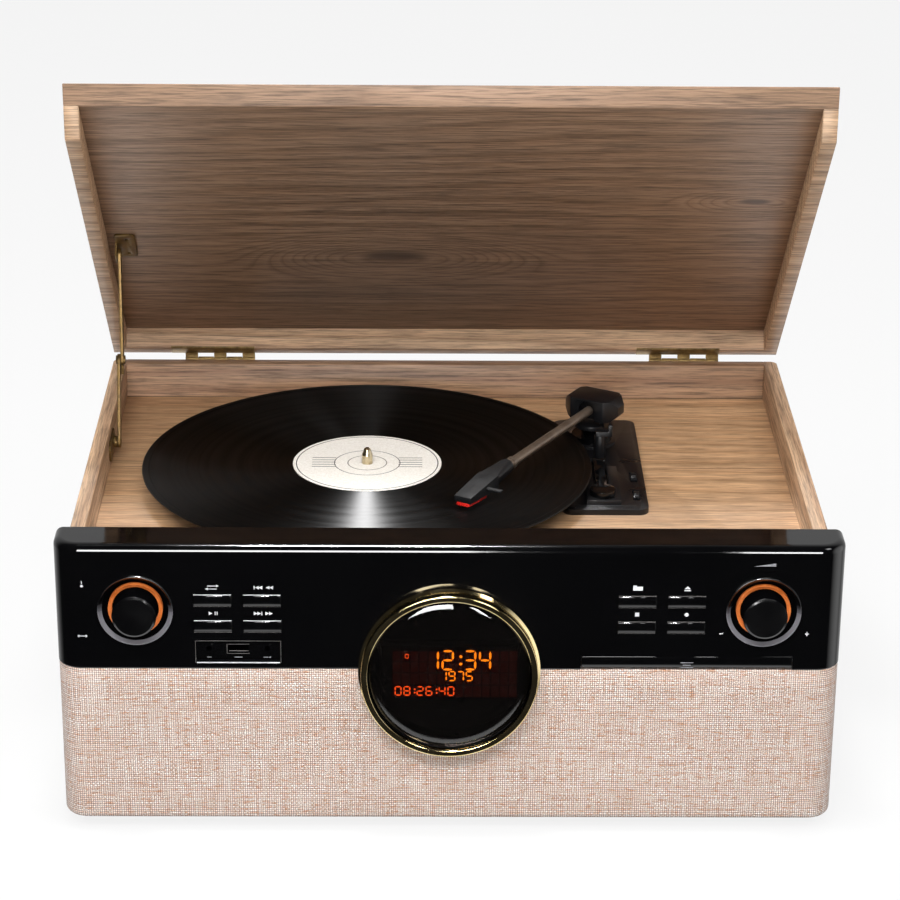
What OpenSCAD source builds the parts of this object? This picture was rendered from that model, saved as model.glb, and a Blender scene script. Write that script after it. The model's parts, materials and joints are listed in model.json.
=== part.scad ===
// Table-top stereo music centre: laminate cabinet with a hinged lid on a folding stay, a belt-driven
// turntable, a gloss fascia with knobs and keys, a round display, and a cloth grille over two speakers.
// X runs to the right, Y to the back and Z up. The origin is the centre of the footprint, on the table.
// The lid is drawn open, the arm playing, the drawer and the cassette flap shut.

/* [Cabinet] */
// Width of the cabinet
body_w = 480; // [468:1:520]
// Depth from the fascia's front to the cabinet's back
body_d = 366; // [362:1:400]
// Height of the cabinet's rim above its underside
body_h = 179.5; // [177:0.5:200]
// Thickness of the cabinet's and the lid's boards
board_t = 9.5; // [8:0.5:12]
// Depth of the turntable deck below the rim
well_depth = 25; // [24:1:32]
// Thickness of the deck board
deck_t = 6; // [5:0.5:9]
// Radius of the upright edges at the back
edge_r = 5; // [2:0.5:8]

/* [Fascia] */
// How far the fascia stands out past each side of the cabinet
fascia_over = 6; // [4:0.5:8]
// Depth of the fascia and of the grille below it
fascia_d = 29; // [26:1:36]
// Height of the fascia
fascia_h = 84; // [82:1:96]
// Height of the fascia's top above the rim
fascia_rise = 11; // [8:1:14]
// Wall of the fascia moulding
fascia_t = 3; // [2.5:0.5:4]
// Radius of the fascia's front corners
corner_r = 16; // [14:1:20]
// Radius of the fascia's top front edge
edge_round = 5; // [3:0.5:6]

/* [Display] */
// Outer radius of the display's gold bezel
bezel_r = 55.5; // [50:0.5:58]
// Width of the bezel's rim
bezel_lip = 4.3; // [3:0.1:6]
// How far the display stands out of the fascia
bezel_out = 10; // [6:0.5:14]

/* [Controls] */
// Radius of the dished knob wells
dish_r = 23.5; // [21:0.5:26]
// Outer radius of the lit rings round the knobs
ring_r = 17; // [16:0.5:19]
// Radius of the knobs
knob_r = 13.8; // [12:0.1:14.5]
// Distance of the knobs' front face from the fascia
knob_out = 11; // [8:0.5:14]
// Distance of each knob from the fascia's end
knob_in = 50.5; // [48:0.5:54]
// Width of a key
key_w = 23.6; // [20:0.1:26]
// Height of a key
key_h = 7; // [6:0.1:8]
// Travel of a key
key_travel = 1; // [0.6:0.1:1.2]
// Distance of the key blocks' middles from the fascia's ends
keys_in = 114; // [110:0.5:118]
// Distance between key columns
key_pitch_x = 30.8; // [29:0.1:34]
// Distance between key rows
key_pitch_z = 17.6; // [16:0.1:20]
// Gap round each moving key, knob and drawer
slide_gap = 0.35; // [0.3:0.05:0.6]

/* [Record player] */
// Radius of a twelve-inch record
record_r = 150.8; // [149:0.1:152]
// Thickness of the record
record_t = 1.6; // [1.2:0.1:2.4]
// Radius of the record's label
label_r = 50; // [48:0.5:52]
// Radius of the platter
platter_r = 98; // [90:1:108]
// Height of the platter
platter_h = 12; // [10:1:14]
// Radius of the spindle
spindle_r = 3.6; // [3.55:0.01:3.65]
// Distance of the spindle to the left of the middle
spindle_x = -54; // [-58:0.5:-50]
// Distance of the spindle from the cabinet's back
spindle_back = 182; // [180:0.5:185]
// Distance from the tonearm's pivot to its stylus
arm_l = 176; // [172:1:180]
// Angle of the tonearm from straight ahead, as it plays
arm_angle = 30; // [28:1:33]
// Radius of the arm tube
tube_r = 3.2; // [2.6:0.1:4]

/* [Lid] */
// Angle of the opened lid
lid_angle = 42.7; // [35:0.1:50]
// Gap between the shut lid and the rim
lid_gap = 3; // [2:0.5:4]
// Depth of the hollow inside the lid
lid_hollow = 15.8; // [15.8:0.1:24]
// Thickness of the lid's top board
lid_t = 10.2; // [8:0.1:12]
// Distance of the lid's front edge behind the fascia's front
lid_set = 1.7; // [0:0.1:6]
// How far the lid's front slants back from its top edge to its rim
lid_slant = 24.8; // [22:0.1:28]
// Length of the folding stay's lower arm
lower_l = 56.3; // [56:0.1:57]
// Length of the folding stay's upper arm
upper_l = 73.6; // [73.4:0.1:74.4]
// Radius of the hinge knuckles
knuckle_r = 1.7; // [1.5:0.1:2]
// Radius of the hinge pins
pin_r = 0.9; // [0.8:0.05:1]

/* [Feet] */
// Height of the rubber feet
foot_h = 8.5; // [5:0.5:12]
// Radius of the rubber feet
foot_r = 9; // [7:0.5:12]

/* [Hidden] */
$fn = 64;
// Running clearance of a shaft in its hole, clearance of neighbouring bodies, and seat of a fixed piece
run = 0.05;
clear = 0.35;
seat = 0.02;
over = 1;

front_y = -body_d / 2;
back_y = body_d / 2;
box_y = front_y + fascia_d;
fascia_w = body_w + 2 * fascia_over;
base_z = foot_h;
rim_z = base_z + body_h;
deck_z = rim_z - well_depth;
fascia_top = rim_z + fascia_rise;
fascia_z = fascia_top - fascia_h;
inner_x = body_w / 2 - board_t;
floor_z = base_z + board_t;
inner_back_y = back_y - board_t;

// Lid, hinge and stay
axis_y = back_y + 2;
axis_z = rim_z - 0.3;
lid_back = axis_y - 3;
lid_rim_z = rim_z + lid_gap;
ceiling_z = lid_rim_z + lid_hollow;
lid_top_z = ceiling_z + lid_t;
lid_front = front_y + lid_set;
hinge_x = inner_x - 62.5;
hinge_w = 60;
tab_w = 9;
stay_arm_t = 2;
stay_arm_w = 8;
stay_x = -(inner_x - 5.1);
stay_foot = [-inner_x, axis_y - 130, deck_z + 11];
// Place of the stay's upper pivot in the shut lid, and of the same pivot when the lid is open
stay_top_shut = [axis_y - 152.2, ceiling_z - 6.5];
stay_top_open = turned(stay_top_shut, -lid_angle);
stay_open = elbow(stay_top_open, [stay_foot[1], stay_foot[2]]);
rivet_r = 2;

// Turntable
spindle_y = back_y - spindle_back;
platter_z = deck_z + 2;
mat_z = platter_z + platter_h;
mat_t = 2;
record_z = mat_z + mat_t;
record_top = record_z + record_t;
spindle_top = record_top + 11;
hub_r = 42;
pulley_r = 6;
motor_x = spindle_x - 78;
motor_y = spindle_y + 62;
belt_z = deck_z - deck_t - 16;
belt_h = 4;
belt_t = 1;

// Tonearm
pivot_x = 101;
pivot_y = back_y - 105;
base_x0 = 76;
base_x1 = 133;
base_y0 = pivot_y - 125;
base_y1 = pivot_y + 40;
base_t = 4;
base_top = deck_z + base_t;
arm_z = deck_z + 28;
tip_drop = arm_z - record_top - 0.15;
cue_y = pivot_y - 48;
cue_len = 58;
cue_x = pivot_x + 2;
switch_x = 126;
switch_y = [pivot_y - 68, pivot_y - 100];

// Fascia items
knob_x = fascia_w / 2 - knob_in;
knob_z = rim_z - 33;
keys_x = fascia_w / 2 - keys_in;
key_z = rim_z - 35;
display_z = rim_z - 74;
drum_r = bezel_r - 1.2;
port_w = 53;
port_h = 15;
port_z = rim_z - 61.2;
tray_w = 132;
tray_h = 7.6;
tray_x = inner_x - 81.7;
tray_z = rim_z - 67.4;
tray_l = 150;
drive_h = 30;
jack_x = 18.2;

// Speakers
speaker_r = 38;
speaker_x = inner_x - 80.5;
speaker_z = base_z + 54;
baffle_t = 9;
cloth_t = 1.2;
cloth_inset = 0.3;
cloth_skin = cloth_inset + cloth_t;
cloth_round = 4;
cloth_gap = 0.4;
turn_in = 12;
cheek_w = 20;
// Drum seat in the fascia and the cloth
drum_seat = 0.05;
strip_t = 3;
baffle_top = fascia_z - cloth_t - clear;

// Cassette well in the right side
tape_w = 108;
tape_h = 16;
tape_y = 20;
tape_z = rim_z - 100;
tape_deep = 70;

// Rear socket plate, the vent beside it, and the parts on the bottom board
plate_x = 100 - inner_x + 30.5;
plate_w = 100;
plate_z = base_z + 48;
plate_h = 36;
vent_x = inner_x - 170.5;
vent_pitch = 14;
board_x = 75.5 - inner_x / 2 + 4.75;
supply_x = inner_x - 102.5;

// A point [y, z] turned about the lid's hinge, as rotate() about X turns it
function turned(p, a) = [
    axis_y + (p[0] - axis_y) * cos(a) - (p[1] - axis_z) * sin(a),
    axis_z + (p[0] - axis_y) * sin(a) + (p[1] - axis_z) * cos(a)];
// The elbow of the stay's two arms between a top and a foot pivot, bent to the back
function elbow(top, foot) = let (d = top - foot, l = norm(d), u = d / l,
    a = (lower_l * lower_l - upper_l * upper_l + l * l) / (2 * l),
        h = sqrt(max(lower_l * lower_l - a * a, 0)))
    foot + a * u + h * [u[1], -u[0]];

// ---------- shared shapes ----------
module along_y(h) { rotate([-90, 0, 0]) linear_extrude(h) children(); }
module rod_y(r, y0, y1) { translate([0, y0, 0]) rotate([-90, 0, 0]) cylinder(r = r, h = y1 - y0); }
module rod_x(r, x0, x1) { translate([x0, 0, 0]) rotate([0, 90, 0]) cylinder(r = r, h = x1 - x0); }
module box(lo, hi) { translate(lo) cube(hi - lo); }
// A rounded rectangle centred on the origin
module plate_2d(w, h, r) {
    union() {
        square([w - 2 * r, h], center = true);
        square([w, h - 2 * r], center = true);
        for (x = [-1, 1], y = [-1, 1]) translate([x * (w / 2 - r), y * (h / 2 - r)]) circle(r);
    }
}
// Plan of the fascia and grille, moved inwards: square at the back, round at the two front corners
module front_plan(inset, depth) {
    r = max(corner_r - inset, 1);
    x = fascia_w / 2 - inset;
    union() {
        translate([-x, inset + r]) square([2 * x, depth - inset - r]);
        translate([-x + r, inset]) square([2 * x - 2 * r, r + 0.01]);
        for (s = [-1, 1]) translate([s * (x - r), inset + r]) circle(r);
    }
}
// Section of a block from its inside outwards, with a round top edge and a round bottom edge
module edge_section(reach, height, top, bottom) {
    union() {
        translate([0, bottom]) square([reach - top, height - bottom]);
        translate([0, bottom]) square([reach, height - top - bottom]);
        square([reach - bottom, bottom + 0.01]);
        translate([reach - top, height - top]) circle(top);
        translate([reach - bottom, bottom]) circle(bottom);
    }
}
// Block over the same plan whose front and side edges are rounded at the top and the bottom
module front_block(inset, z0, z1, top, bottom) {
    r = corner_r - inset;
    x = fascia_w / 2 - inset;
    depth = fascia_d - inset;
    height = z1 - z0;
    translate([0, front_y + inset, z0]) {
        translate([x - r, depth, 0]) rotate([90, 0, -90]) linear_extrude(2 * x - 2 * r)
            edge_section(depth, height, top, bottom);
        for (s = [0, 1]) mirror([s, 0, 0]) {
            translate([x - r, depth, 0]) rotate([90, 0, 0]) linear_extrude(depth - r)
                edge_section(r, height, top, bottom);
            intersection() {
                translate([x - r, r, 0]) rotate_extrude() edge_section(r, height, top, bottom);
                translate([x - r, 0, 0]) cube([r, r, height]);
            }
        }
    }
}
// The lid is drawn shut and turned open about its hinge
module opened() {
    translate([0, axis_y, axis_z]) rotate([-lid_angle, 0, 0]) translate([0, -axis_y, -axis_z]) children();
}
// Centres of a row and column of keys
function key_at(side, col, row) = [side * keys_x + (col - 0.5) * key_pitch_x, key_z - (row - 0.5)
    * key_pitch_z];

// ---------- cabinet ----------
module side_panel(s) {
    difference() {
        union() {
            box([s > 0 ? inner_x : -body_w / 2, box_y, base_z], [s > 0 ? body_w / 2 : -inner_x,
                back_y - edge_r, rim_z]);
            intersection() {
                translate([s * (body_w / 2 - edge_r), back_y - edge_r, base_z]) cylinder(r = edge_r,
                    h = body_h);
                box([s > 0 ? inner_x : -body_w, back_y - edge_r, 0], [s > 0 ? body_w : -inner_x, back_y,
                    rim_z]);
            }
            box([s > 0 ? inner_x : -body_w / 2 + edge_r, back_y - edge_r - 0.01, base_z],
                [s > 0 ? body_w / 2 - edge_r : -inner_x, back_y, rim_z]);
        }
        // Window for the cassette frame
        if (s > 0) box([inner_x - over, tape_y - tape_w / 2 - seat, tape_z - tape_h / 2 - 4 - seat],
            [body_w / 2 + over, tape_y + tape_w / 2 + seat, tape_z + tape_h / 2 + 4 + seat]);
    }
}
module side_panels() { color("#c19a6b") for (s = [-1, 1]) side_panel(s); }
module back_panel() {
    color("#b98f62") difference() {
        box([-inner_x, inner_back_y, floor_z], [inner_x, back_y, rim_z]);
        // Cut-out for the socket plate, and the vent slots
        box([plate_x - plate_w / 2, inner_back_y - over, plate_z - plate_h / 2],
            [plate_x + plate_w / 2, back_y + over, plate_z + plate_h / 2]);
        for (i = [0 : 5]) box([vent_x + i * vent_pitch, inner_back_y - over, plate_z - 14],
            [vent_x + i * vent_pitch + 5, back_y + over, plate_z + 14]);
    }
}
module bottom_panel() { color("#8d7456") box([-inner_x, box_y, base_z], [inner_x, back_y, floor_z]); }
module deck_panel() {
    color("#c6a070") difference() {
        box([-inner_x, box_y, deck_z - deck_t], [inner_x, inner_back_y, deck_z]);
        translate([spindle_x, spindle_y, deck_z - deck_t - over]) cylinder(r = 9 + clear,
            h = deck_t + 2 * over);
        translate([pivot_x, pivot_y, deck_z - deck_t - over]) cylinder(r = 7 + clear,
            h = deck_t + 2 * over);
    }
}
module front_board() {
    // Strip that closes the record well behind the fascia
    color("#c19a6b") box([-inner_x, box_y, deck_z], [inner_x, box_y + strip_t, rim_z]);
}
module rubber_foot() {
    cylinder(r1 = foot_r - 1, r2 = foot_r, h = 1);
    translate([0, 0, 1]) cylinder(r = foot_r, h = foot_h - 1);
}
module rubber_feet() {
    // Four near the corners and one under the middle of the bottom board
    color("#26262a") {
        rubber_foot();
        for (x = [-1, 1], y = [box_y + 15, back_y - 34]) translate([x * (body_w / 2 - 32), y, 0])
            rubber_foot();
    }
}
// Pan head with a cross recess, its flat face at the origin
module screw(r, h) {
    difference() {
        cylinder(r1 = r, r2 = r * 0.8, h = h);
        for (a = [0, 90]) rotate([0, 0, a]) translate([-r / 2, -0.3, h * 0.5]) cube([r, 0.6, h]);
    }
}
module cabinet_screws() {
    // Pan heads on the cabinet's back
    color("#8a8a8a") for (x = [-inner_x + 14, 0, inner_x - 14], z = [floor_z + 12, rim_z - 14])
        translate([x, back_y, z]) rotate([-90, 0, 0]) screw(3, 1.6);
}

// ---------- fascia and grille ----------
module front_fascia() {
    color("#0b0b0d") difference() {
        front_block(0, fascia_z, fascia_top, edge_round, 1);
        // Hollow of the moulding, open at the bottom, and at the back between the cabinet's sides
        translate([0, front_y, fascia_z - over]) linear_extrude(fascia_h - fascia_t + over)
            front_plan(fascia_t, fascia_d - fascia_t);
        box([-inner_x, box_y - fascia_t - over, fascia_z - over], [inner_x, box_y + over, rim_z - 6]);
        fascia_holes();
    }
}
module fascia_holes() {
    translate([0, 0, display_z]) rod_y(drum_r + drum_seat, front_y - over, box_y);
    for (s = [-1, 1]) translate([s * knob_x, 0, knob_z]) rod_y(dish_r - 1, front_y - over, front_y + 12);
    for (s = [-1, 1], c = [0, 1], r = [0, 1]) translate([key_at(s, c, r)[0], front_y - over, key_at(s, c,
        r)[1]])
        along_y(12) square([key_w + 2 * slide_gap, key_h + 2 * slide_gap], center = true);
    translate([-keys_x, front_y - over, port_z]) along_y(12) square([port_w, port_h], center = true);
    translate([tray_x, front_y - over, tray_z]) along_y(12)
        translate([-tray_w / 2 - slide_gap, -tray_h / 2 - slide_gap]) square([tray_w + 2 * slide_gap, 20]);
}
module baffle_panel() {
    // Front board with cheeks and rails behind it, round at the front like the cloth it carries
    y0 = front_y + cloth_skin + cloth_gap;
    color("#5a4a38") difference() {
        front_block(cloth_skin + cloth_gap, base_z + cloth_t, baffle_top, 0.5,
            cloth_round - cloth_t - cloth_gap);
        box([-body_w / 2 + cheek_w, y0 + baffle_t, base_z + cloth_t + board_t],
            [body_w / 2 - cheek_w, box_y + over, baffle_top - board_t]);
        for (s = [-1, 1]) translate([s * speaker_x, 0, speaker_z]) rod_y(speaker_r - 4, front_y, box_y);
        translate([0, 0, display_z]) rod_y(drum_r + clear, front_y - over, box_y + over);
    }
}
module grille_cloth() {
    // A skin round the front of the baffle, turned in at the top and bottom
    color("#cdb3a0") difference() {
        front_block(cloth_inset, base_z, fascia_z - seat, 0.5, cloth_round);
        front_block(cloth_skin, base_z + cloth_t, fascia_z - cloth_t, 0.5, cloth_round - cloth_t);
        translate([0, front_y, 0]) linear_extrude(fascia_z + over) front_plan(turn_in, fascia_d + 20);
        box([-fascia_w, box_y - 0.01, base_z + cloth_t], [fascia_w, box_y + over, fascia_z - cloth_t]);
        translate([0, 0, display_z]) rod_y(drum_r + drum_seat, front_y - over, box_y + over);
    }
}
module speaker() {
    y0 = front_y + cloth_skin + cloth_gap + baffle_t + seat;
    // Steel frame, magnet and cone with its dust cap
    translate([0, y0, 0]) rotate([-90, 0, 0]) {
        difference() {
            union() {
                cylinder(r = speaker_r + 2, h = 2);
                translate([0, 0, 2]) cylinder(r1 = speaker_r - 2, r2 = 22, h = 16);
                translate([0, 0, 18]) cylinder(r = 24, h = 14);
            }
            translate([0, 0, -over]) cylinder(r1 = speaker_r - 5, r2 = 12, h = 15);
        }
        translate([0, 0, 8]) cylinder(r1 = 6, r2 = 12, h = 6.5);
    }
}
module speakers() { color("#3a3a3c") for (s = [-1, 1]) translate([s * speaker_x, 0, speaker_z]) speaker(); }

// ---------- display ----------
module display_drum() {
    color("#111113") translate([0, 0, display_z]) difference() {
        rod_y(drum_r, front_y - bezel_out + 4, box_y - 4);
        rod_y(drum_r - 3, front_y - bezel_out, box_y - 7);
    }
}
module display_bezel() {
    color("#c9a54a") translate([0, 0, display_z]) rotate([90, 0, 0]) translate([0, 0, -front_y])
        rotate_extrude($fn = 128)
        polygon([[drum_r + seat, 0.3], [bezel_r + 1.6, 0.3], [bezel_r + 1.6, 1.6], [bezel_r, 3],
            [bezel_r, bezel_out - 1.5],
            [bezel_r - 1.2, bezel_out], [bezel_r - bezel_lip + 0.6, bezel_out], [bezel_r - bezel_lip,
                bezel_out - 1],
            [bezel_r - bezel_lip, bezel_out - 4 + seat], [drum_r + seat, bezel_out - 4 + seat]]);
}
module display_lens() {
    color("#161214") translate([0, 0, display_z]) rod_y(drum_r - 3 - seat, front_y - bezel_out + 5,
        front_y - bezel_out + 7);
}
module display_module() {
    color("#3b1c0c") translate([0, front_y - bezel_out + 9, display_z - 2]) {
        along_y(4) square([84, 40], center = true);
        translate([0, 4, 0]) along_y(2) square([86, 44], center = true);
        translate([0, 6, 0]) for (x = [-1, 1]) translate([x * 34, 0, 0]) rod_y(3, 0,
            box_y - 7 - (front_y - bezel_out + 15));
    }
}

// ---------- knobs and keys ----------
module knob_dishes() {
    color("#141416") for (s = [-1, 1]) translate([s * knob_x, front_y, knob_z]) rotate([-90, 0, 0])
        difference() {
        rotate_extrude($fn = 96) polygon([[5, 8], [ring_r + 1.5, 8], [dish_r - 1 - seat, 5],
            [dish_r - 1 - seat, -seat],
            [dish_r, -seat], [dish_r, -0.9], [dish_r - 1.5, -0.9], [ring_r + 0.5, 4], [ring_r + 0.5, 6],
                [5, 6]]);
    }
}
module light_rings() {
    color("#e8762b") for (s = [-1, 1]) translate([s * knob_x, front_y, knob_z]) rotate([-90, 0, 0])
        rotate_extrude($fn = 96) polygon([[knob_r + 0.8, 3], [ring_r, 1.4], [ring_r, 6 - seat],
            [knob_r + 0.8, 6 - seat]]);
}
module knob(x) {
    color("#0d0d0f") translate([x, front_y, knob_z]) rotate([-90, 0, 0]) {
        rotate_extrude($fn = 96) polygon([[0, -knob_out], [knob_r - 1.6, -knob_out], [knob_r - 0.5,
            -knob_out + 0.5],
            [knob_r, -knob_out + 1.6], [knob_r, 5.5], [5 - run, 5.5], [5 - run, 12], [0, 12]]);
    }
}
module source_knob() { knob(-knob_x); }
module volume_knob() { knob(knob_x); }
module key(side, col, row) {
    at = key_at(side, col, row);
    color("#0e0e10") translate([at[0], front_y - 0.4, at[1]]) {
        along_y(7) square([key_w, key_h], center = true);
        // Flange that keeps the key behind the fascia's wall
        translate([0, 0.4 + fascia_t + key_travel, 0]) along_y(1.5) square([key_w + 3, key_h + 3],
            center = true);
    }
}
module key_repeat() { key(-1, 0, 0); }
module key_scan() { key(-1, 0, 1); }
module key_back() { key(-1, 1, 0); }
module key_forward() { key(-1, 1, 1); }
module key_folder() { key(1, 0, 0); }
module key_menu() { key(1, 0, 1); }
module key_eject() { key(1, 1, 0); }
module key_record() { key(1, 1, 1); }
module port_panel() {
    y0 = front_y + 1.5;
    translate([-keys_x, y0, port_z]) {
        color("#121214") difference() {
            union() {
                along_y(2) square([port_w - 2 * seat, port_h - 2 * seat], center = true);
                translate([0, 2, 0]) along_y(2) square([port_w + 6, port_h - 2 * seat], center = true);
            }
            for (s = [-1, 1]) translate([s * jack_x, 0, 1.7]) rod_y(3.3 + seat, -over, 5);
            translate([0, -over, 1.6]) along_y(8) square([14 + 2 * seat, 6.4 + 2 * seat], center = true);
        }
        // Headphone and line-in jacks
        color("#b9b9bd") for (s = [-1, 1]) translate([s * jack_x, 0, 1.7]) difference() {
            rod_y(3.3, -0.6, 14);
            rod_y(1.8, -over, 13);
        }
        // Data socket, open at the front, with its contact tongue
        color("#c9c9cc") translate([0, 0, 1.6]) difference() {
            translate([0, -0.4, 0]) along_y(15) square([14, 6.4], center = true);
            translate([0, -over, 0]) along_y(14) square([12.6, 5], center = true);
        }
    }
}

// ---------- disc drawer ----------
module disc_drive() {
    y0 = front_y + 12;
    color("#6f7276") translate([tray_x, 0, 0]) difference() {
        box([-tray_w / 2 - 3, y0, tray_z - tray_h / 2 - 1.4], [tray_w / 2 + 3, y0 + tray_l + 6,
            tray_z - tray_h / 2 + drive_h]);
        box([-tray_w / 2 - slide_gap, y0 - over, tray_z - tray_h / 2 - slide_gap],
            [tray_w / 2 + slide_gap, y0 + tray_l + 2, tray_z + tray_h / 2 + slide_gap]);
    }
}
module disc_tray() {
    color("#101012") translate([tray_x, 0, 0]) difference() {
        union() {
            box([-tray_w / 2, front_y, tray_z - tray_h / 2], [tray_w / 2, front_y + 3,
                tray_z + tray_h / 2]);
            box([-tray_w / 2 + 1, front_y + 3, tray_z - tray_h / 2], [tray_w / 2 - 1,
                front_y + 12 + tray_l, tray_z + tray_h / 2 - 1]);
        }
        translate([0, front_y + 84, tray_z - 1]) cylinder(r = 60.5, h = tray_h, $fn = 96);
        translate([0, front_y + 84, tray_z - 2.5]) cylinder(r = 41, h = tray_h);
        box([-8, front_y + 84, tray_z - tray_h], [8, front_y + 150, tray_z + tray_h]);
    }
}

// ---------- inside ----------
module electronics() {
    color("#2f6b3c") {
        // Main board on its spacers, with two smoothing capacitors and a chip
        box([board_x - 75, -60, floor_z + 8], [board_x + 75, 60, floor_z + 9.6]);
        for (x = [-67, 67], y = [-52, 52]) translate([board_x + x, y, floor_z]) cylinder(r = 3, h = 8);
        for (y = [-34, -10]) translate([board_x + 52, y, floor_z + 9.6]) cylinder(r = 9, h = 28);
        box([board_x - 8, -14, floor_z + 9.6], [board_x + 16, 10, floor_z + 12]);
    }
    color("#9a9ca0") {
        // Heat sink: a foot with upright fins
        box([board_x - 58, -40, floor_z + 9.6], [board_x - 26, 20, floor_z + 13]);
        for (i = [0 : 4]) box([board_x - 58 + i * 7.5, -40, floor_z + 12.9], [board_x - 56 + i * 7.5, 20,
            floor_z + 34]);
    }
    color("#7b7b80") {
        // Transformer on its foot plate
        box([supply_x - 28, 60, floor_z], [supply_x + 28, 108, floor_z + 44]);
        box([supply_x - 36, 72, floor_z], [supply_x + 36, 96, floor_z + 3]);
    }
}
module rear_connectors() {
    y0 = back_y - 6;
    color("#1b1b1d") translate([plate_x, 0, plate_z]) difference() {
        union() {
            box([-plate_w / 2 + seat, y0, -plate_h / 2 + seat], [plate_w / 2 - seat, y0 + 2,
                plate_h / 2 - seat]);
            // Housing of the mains inlet and the line-out pair
            box([-44, y0 - 16, -10], [-18, y0, 8]);
            for (x = [4, 22]) translate([x, 0, 0]) rod_y(4, y0, y0 + 8);
            box([-2, y0 - 10, -8], [28, y0, 8]);
        }
        translate([-31, y0 - 12, -1]) along_y(20) plate_2d(19, 9, 4.4);
        for (x = [4, 22]) translate([x, 0, 0]) rod_y(1.7, y0 - 8, y0 + 9);
    }
}
module cassette_deck() {
    // Frame in the side panel and the well that takes a cassette, long side first
    x1 = body_w / 2;
    color("#17171a") difference() {
        union() {
            box([inner_x - over, tape_y - tape_w / 2, tape_z - tape_h / 2 - 4], [x1 + 0.6,
                tape_y + tape_w / 2, tape_z + tape_h / 2 + 4]);
            box([x1 - tape_deep - 14, tape_y - tape_w / 2, tape_z - tape_h / 2 - 4], [inner_x - over,
                tape_y + tape_w / 2, tape_z + tape_h / 2 + 4]);
        }
        box([x1 - tape_deep - 6, tape_y - tape_w / 2 + 2, tape_z - tape_h / 2], [x1 + 2,
            tape_y + tape_w / 2 - 2, tape_z + tape_h / 2]);
    }
}
module cassette_flap() {
    x1 = body_w / 2;
    color("#141416") {
        box([x1 - 3, tape_y - tape_w / 2 + 2 + slide_gap, tape_z - tape_h / 2 + slide_gap],
            [x1 - 1, tape_y + tape_w / 2 - 2 - slide_gap, tape_z + tape_h / 2 - slide_gap - 2]);
        translate([x1 - 2, 0, tape_z + tape_h / 2 - slide_gap - 1.4]) rotate([-90, 0, 0])
            translate([0, 0, tape_y - tape_w / 2 + 2 + slide_gap]) cylinder(r = 1.2,
                h = tape_w - 4 - 2 * slide_gap);
    }
}

// ---------- turntable ----------
module turntable_drive() {
    // Bearing bridge under the deck and the motor, both hung from the deck
    color("#9a9ca0") {
        difference() {
            union() {
                translate([spindle_x, spindle_y, deck_z - deck_t - 6]) cylinder(r = 9, h = 6 + deck_t + 1);
                translate([spindle_x, spindle_y, deck_z - deck_t - 6]) cylinder(r = 16, h = 6 - seat);
            }
            translate([spindle_x, spindle_y, deck_z - deck_t - 6 - over]) cylinder(r = spindle_r + run,
                h = 30);
        }
        difference() {
            translate([motor_x, motor_y, deck_z - deck_t - 8]) cylinder(r = 17, h = 8 - seat);
            translate([motor_x, motor_y, deck_z - deck_t - 8 - over]) cylinder(r = 1.2 + run, h = 6);
        }
    }
}
module motor_pulley() {
    color("#c8a050") translate([motor_x, motor_y, 0]) {
        translate([0, 0, deck_z - deck_t - 7]) mirror([0, 0, 1]) cylinder(r = 1.2, h = 6);
        translate([0, 0, belt_z - 1]) difference() {
            cylinder(r = pulley_r + 1.2, h = belt_h + 2);
            translate([0, 0, 1 - 0.5]) difference() {
                cylinder(r = pulley_r + 3, h = belt_h + 1);
                translate([0, 0, -over]) cylinder(r = pulley_r, h = belt_h + 4);
            }
        }
    }
}
module drive_belt() {
    r1 = hub_r + clear;
    r2 = pulley_r + clear;
    color("#1c1c1e") translate([0, 0, belt_z]) linear_extrude(belt_h) difference() {
        hull() {
            translate([spindle_x, spindle_y]) circle(r1 + belt_t, $fn = 64);
            translate([motor_x, motor_y]) circle(r2 + belt_t, $fn = 32);
        }
        hull() {
            translate([spindle_x, spindle_y]) circle(r1, $fn = 64);
            translate([motor_x, motor_y]) circle(r2, $fn = 32);
        }
    }
}
module spindle() {
    color("#cdbb95") translate([spindle_x, spindle_y, 0]) {
        rotate_extrude($fn = 48) polygon([[0, belt_z - 3], [spindle_r, belt_z - 3], [spindle_r,
            spindle_top - 5],
            [spindle_r - 1.4, spindle_top - 1], [spindle_r - 2.6, spindle_top], [0, spindle_top]]);
        // Belt wheel under the deck, and the shoulder that carries the platter
        translate([0, 0, belt_z - 2]) cylinder(r = hub_r, h = belt_h + 3.5);
        translate([0, 0, deck_z + 1.4]) cylinder(r = 6, h = platter_z + 2 - deck_z - 1.4);
    }
}
module platter() {
    color("#2b2b2e") translate([spindle_x, spindle_y, platter_z]) difference() {
        rotate_extrude($fn = 128) polygon([[spindle_r + run, 2], [22, 2], [22, 5], [platter_r - 6, 5],
            [platter_r - 6, 0],
            [platter_r - 1, 0], [platter_r, 1], [platter_r, platter_h - 1.5], [platter_r - 1.5,
                platter_h], [spindle_r + run, platter_h]]);
    }
}
module slipmat() {
    color("#1a1a1c") translate([spindle_x, spindle_y, mat_z]) difference() {
        cylinder(r = platter_r - 2, h = mat_t, $fn = 128);
        translate([0, 0, -over]) cylinder(r = spindle_r + run, h = 6);
    }
}
module vinyl_record() {
    color("#0f0f10") translate([spindle_x, spindle_y, record_z]) rotate_extrude($fn = 160)
        polygon([[spindle_r + run, 0], [record_r - 0.5, 0], [record_r, 0.5], [record_r, record_t - 0.5],
            [record_r - 0.5, record_t],
            [record_r - 4, record_t], [record_r - 5, record_t - 0.2], [label_r + 8, record_t - 0.2],
                [label_r, record_t - 0.3],
            [spindle_r + run, record_t - 0.3]]);
}
module record_label() {
    color("#ece4d4") translate([spindle_x, spindle_y, record_z + record_t - 0.3]) difference() {
        cylinder(r = label_r - 0.1, h = 0.35, $fn = 96);
        translate([0, 0, -over]) cylinder(r = spindle_r + run + 0.1, h = 4);
    }
}

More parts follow.
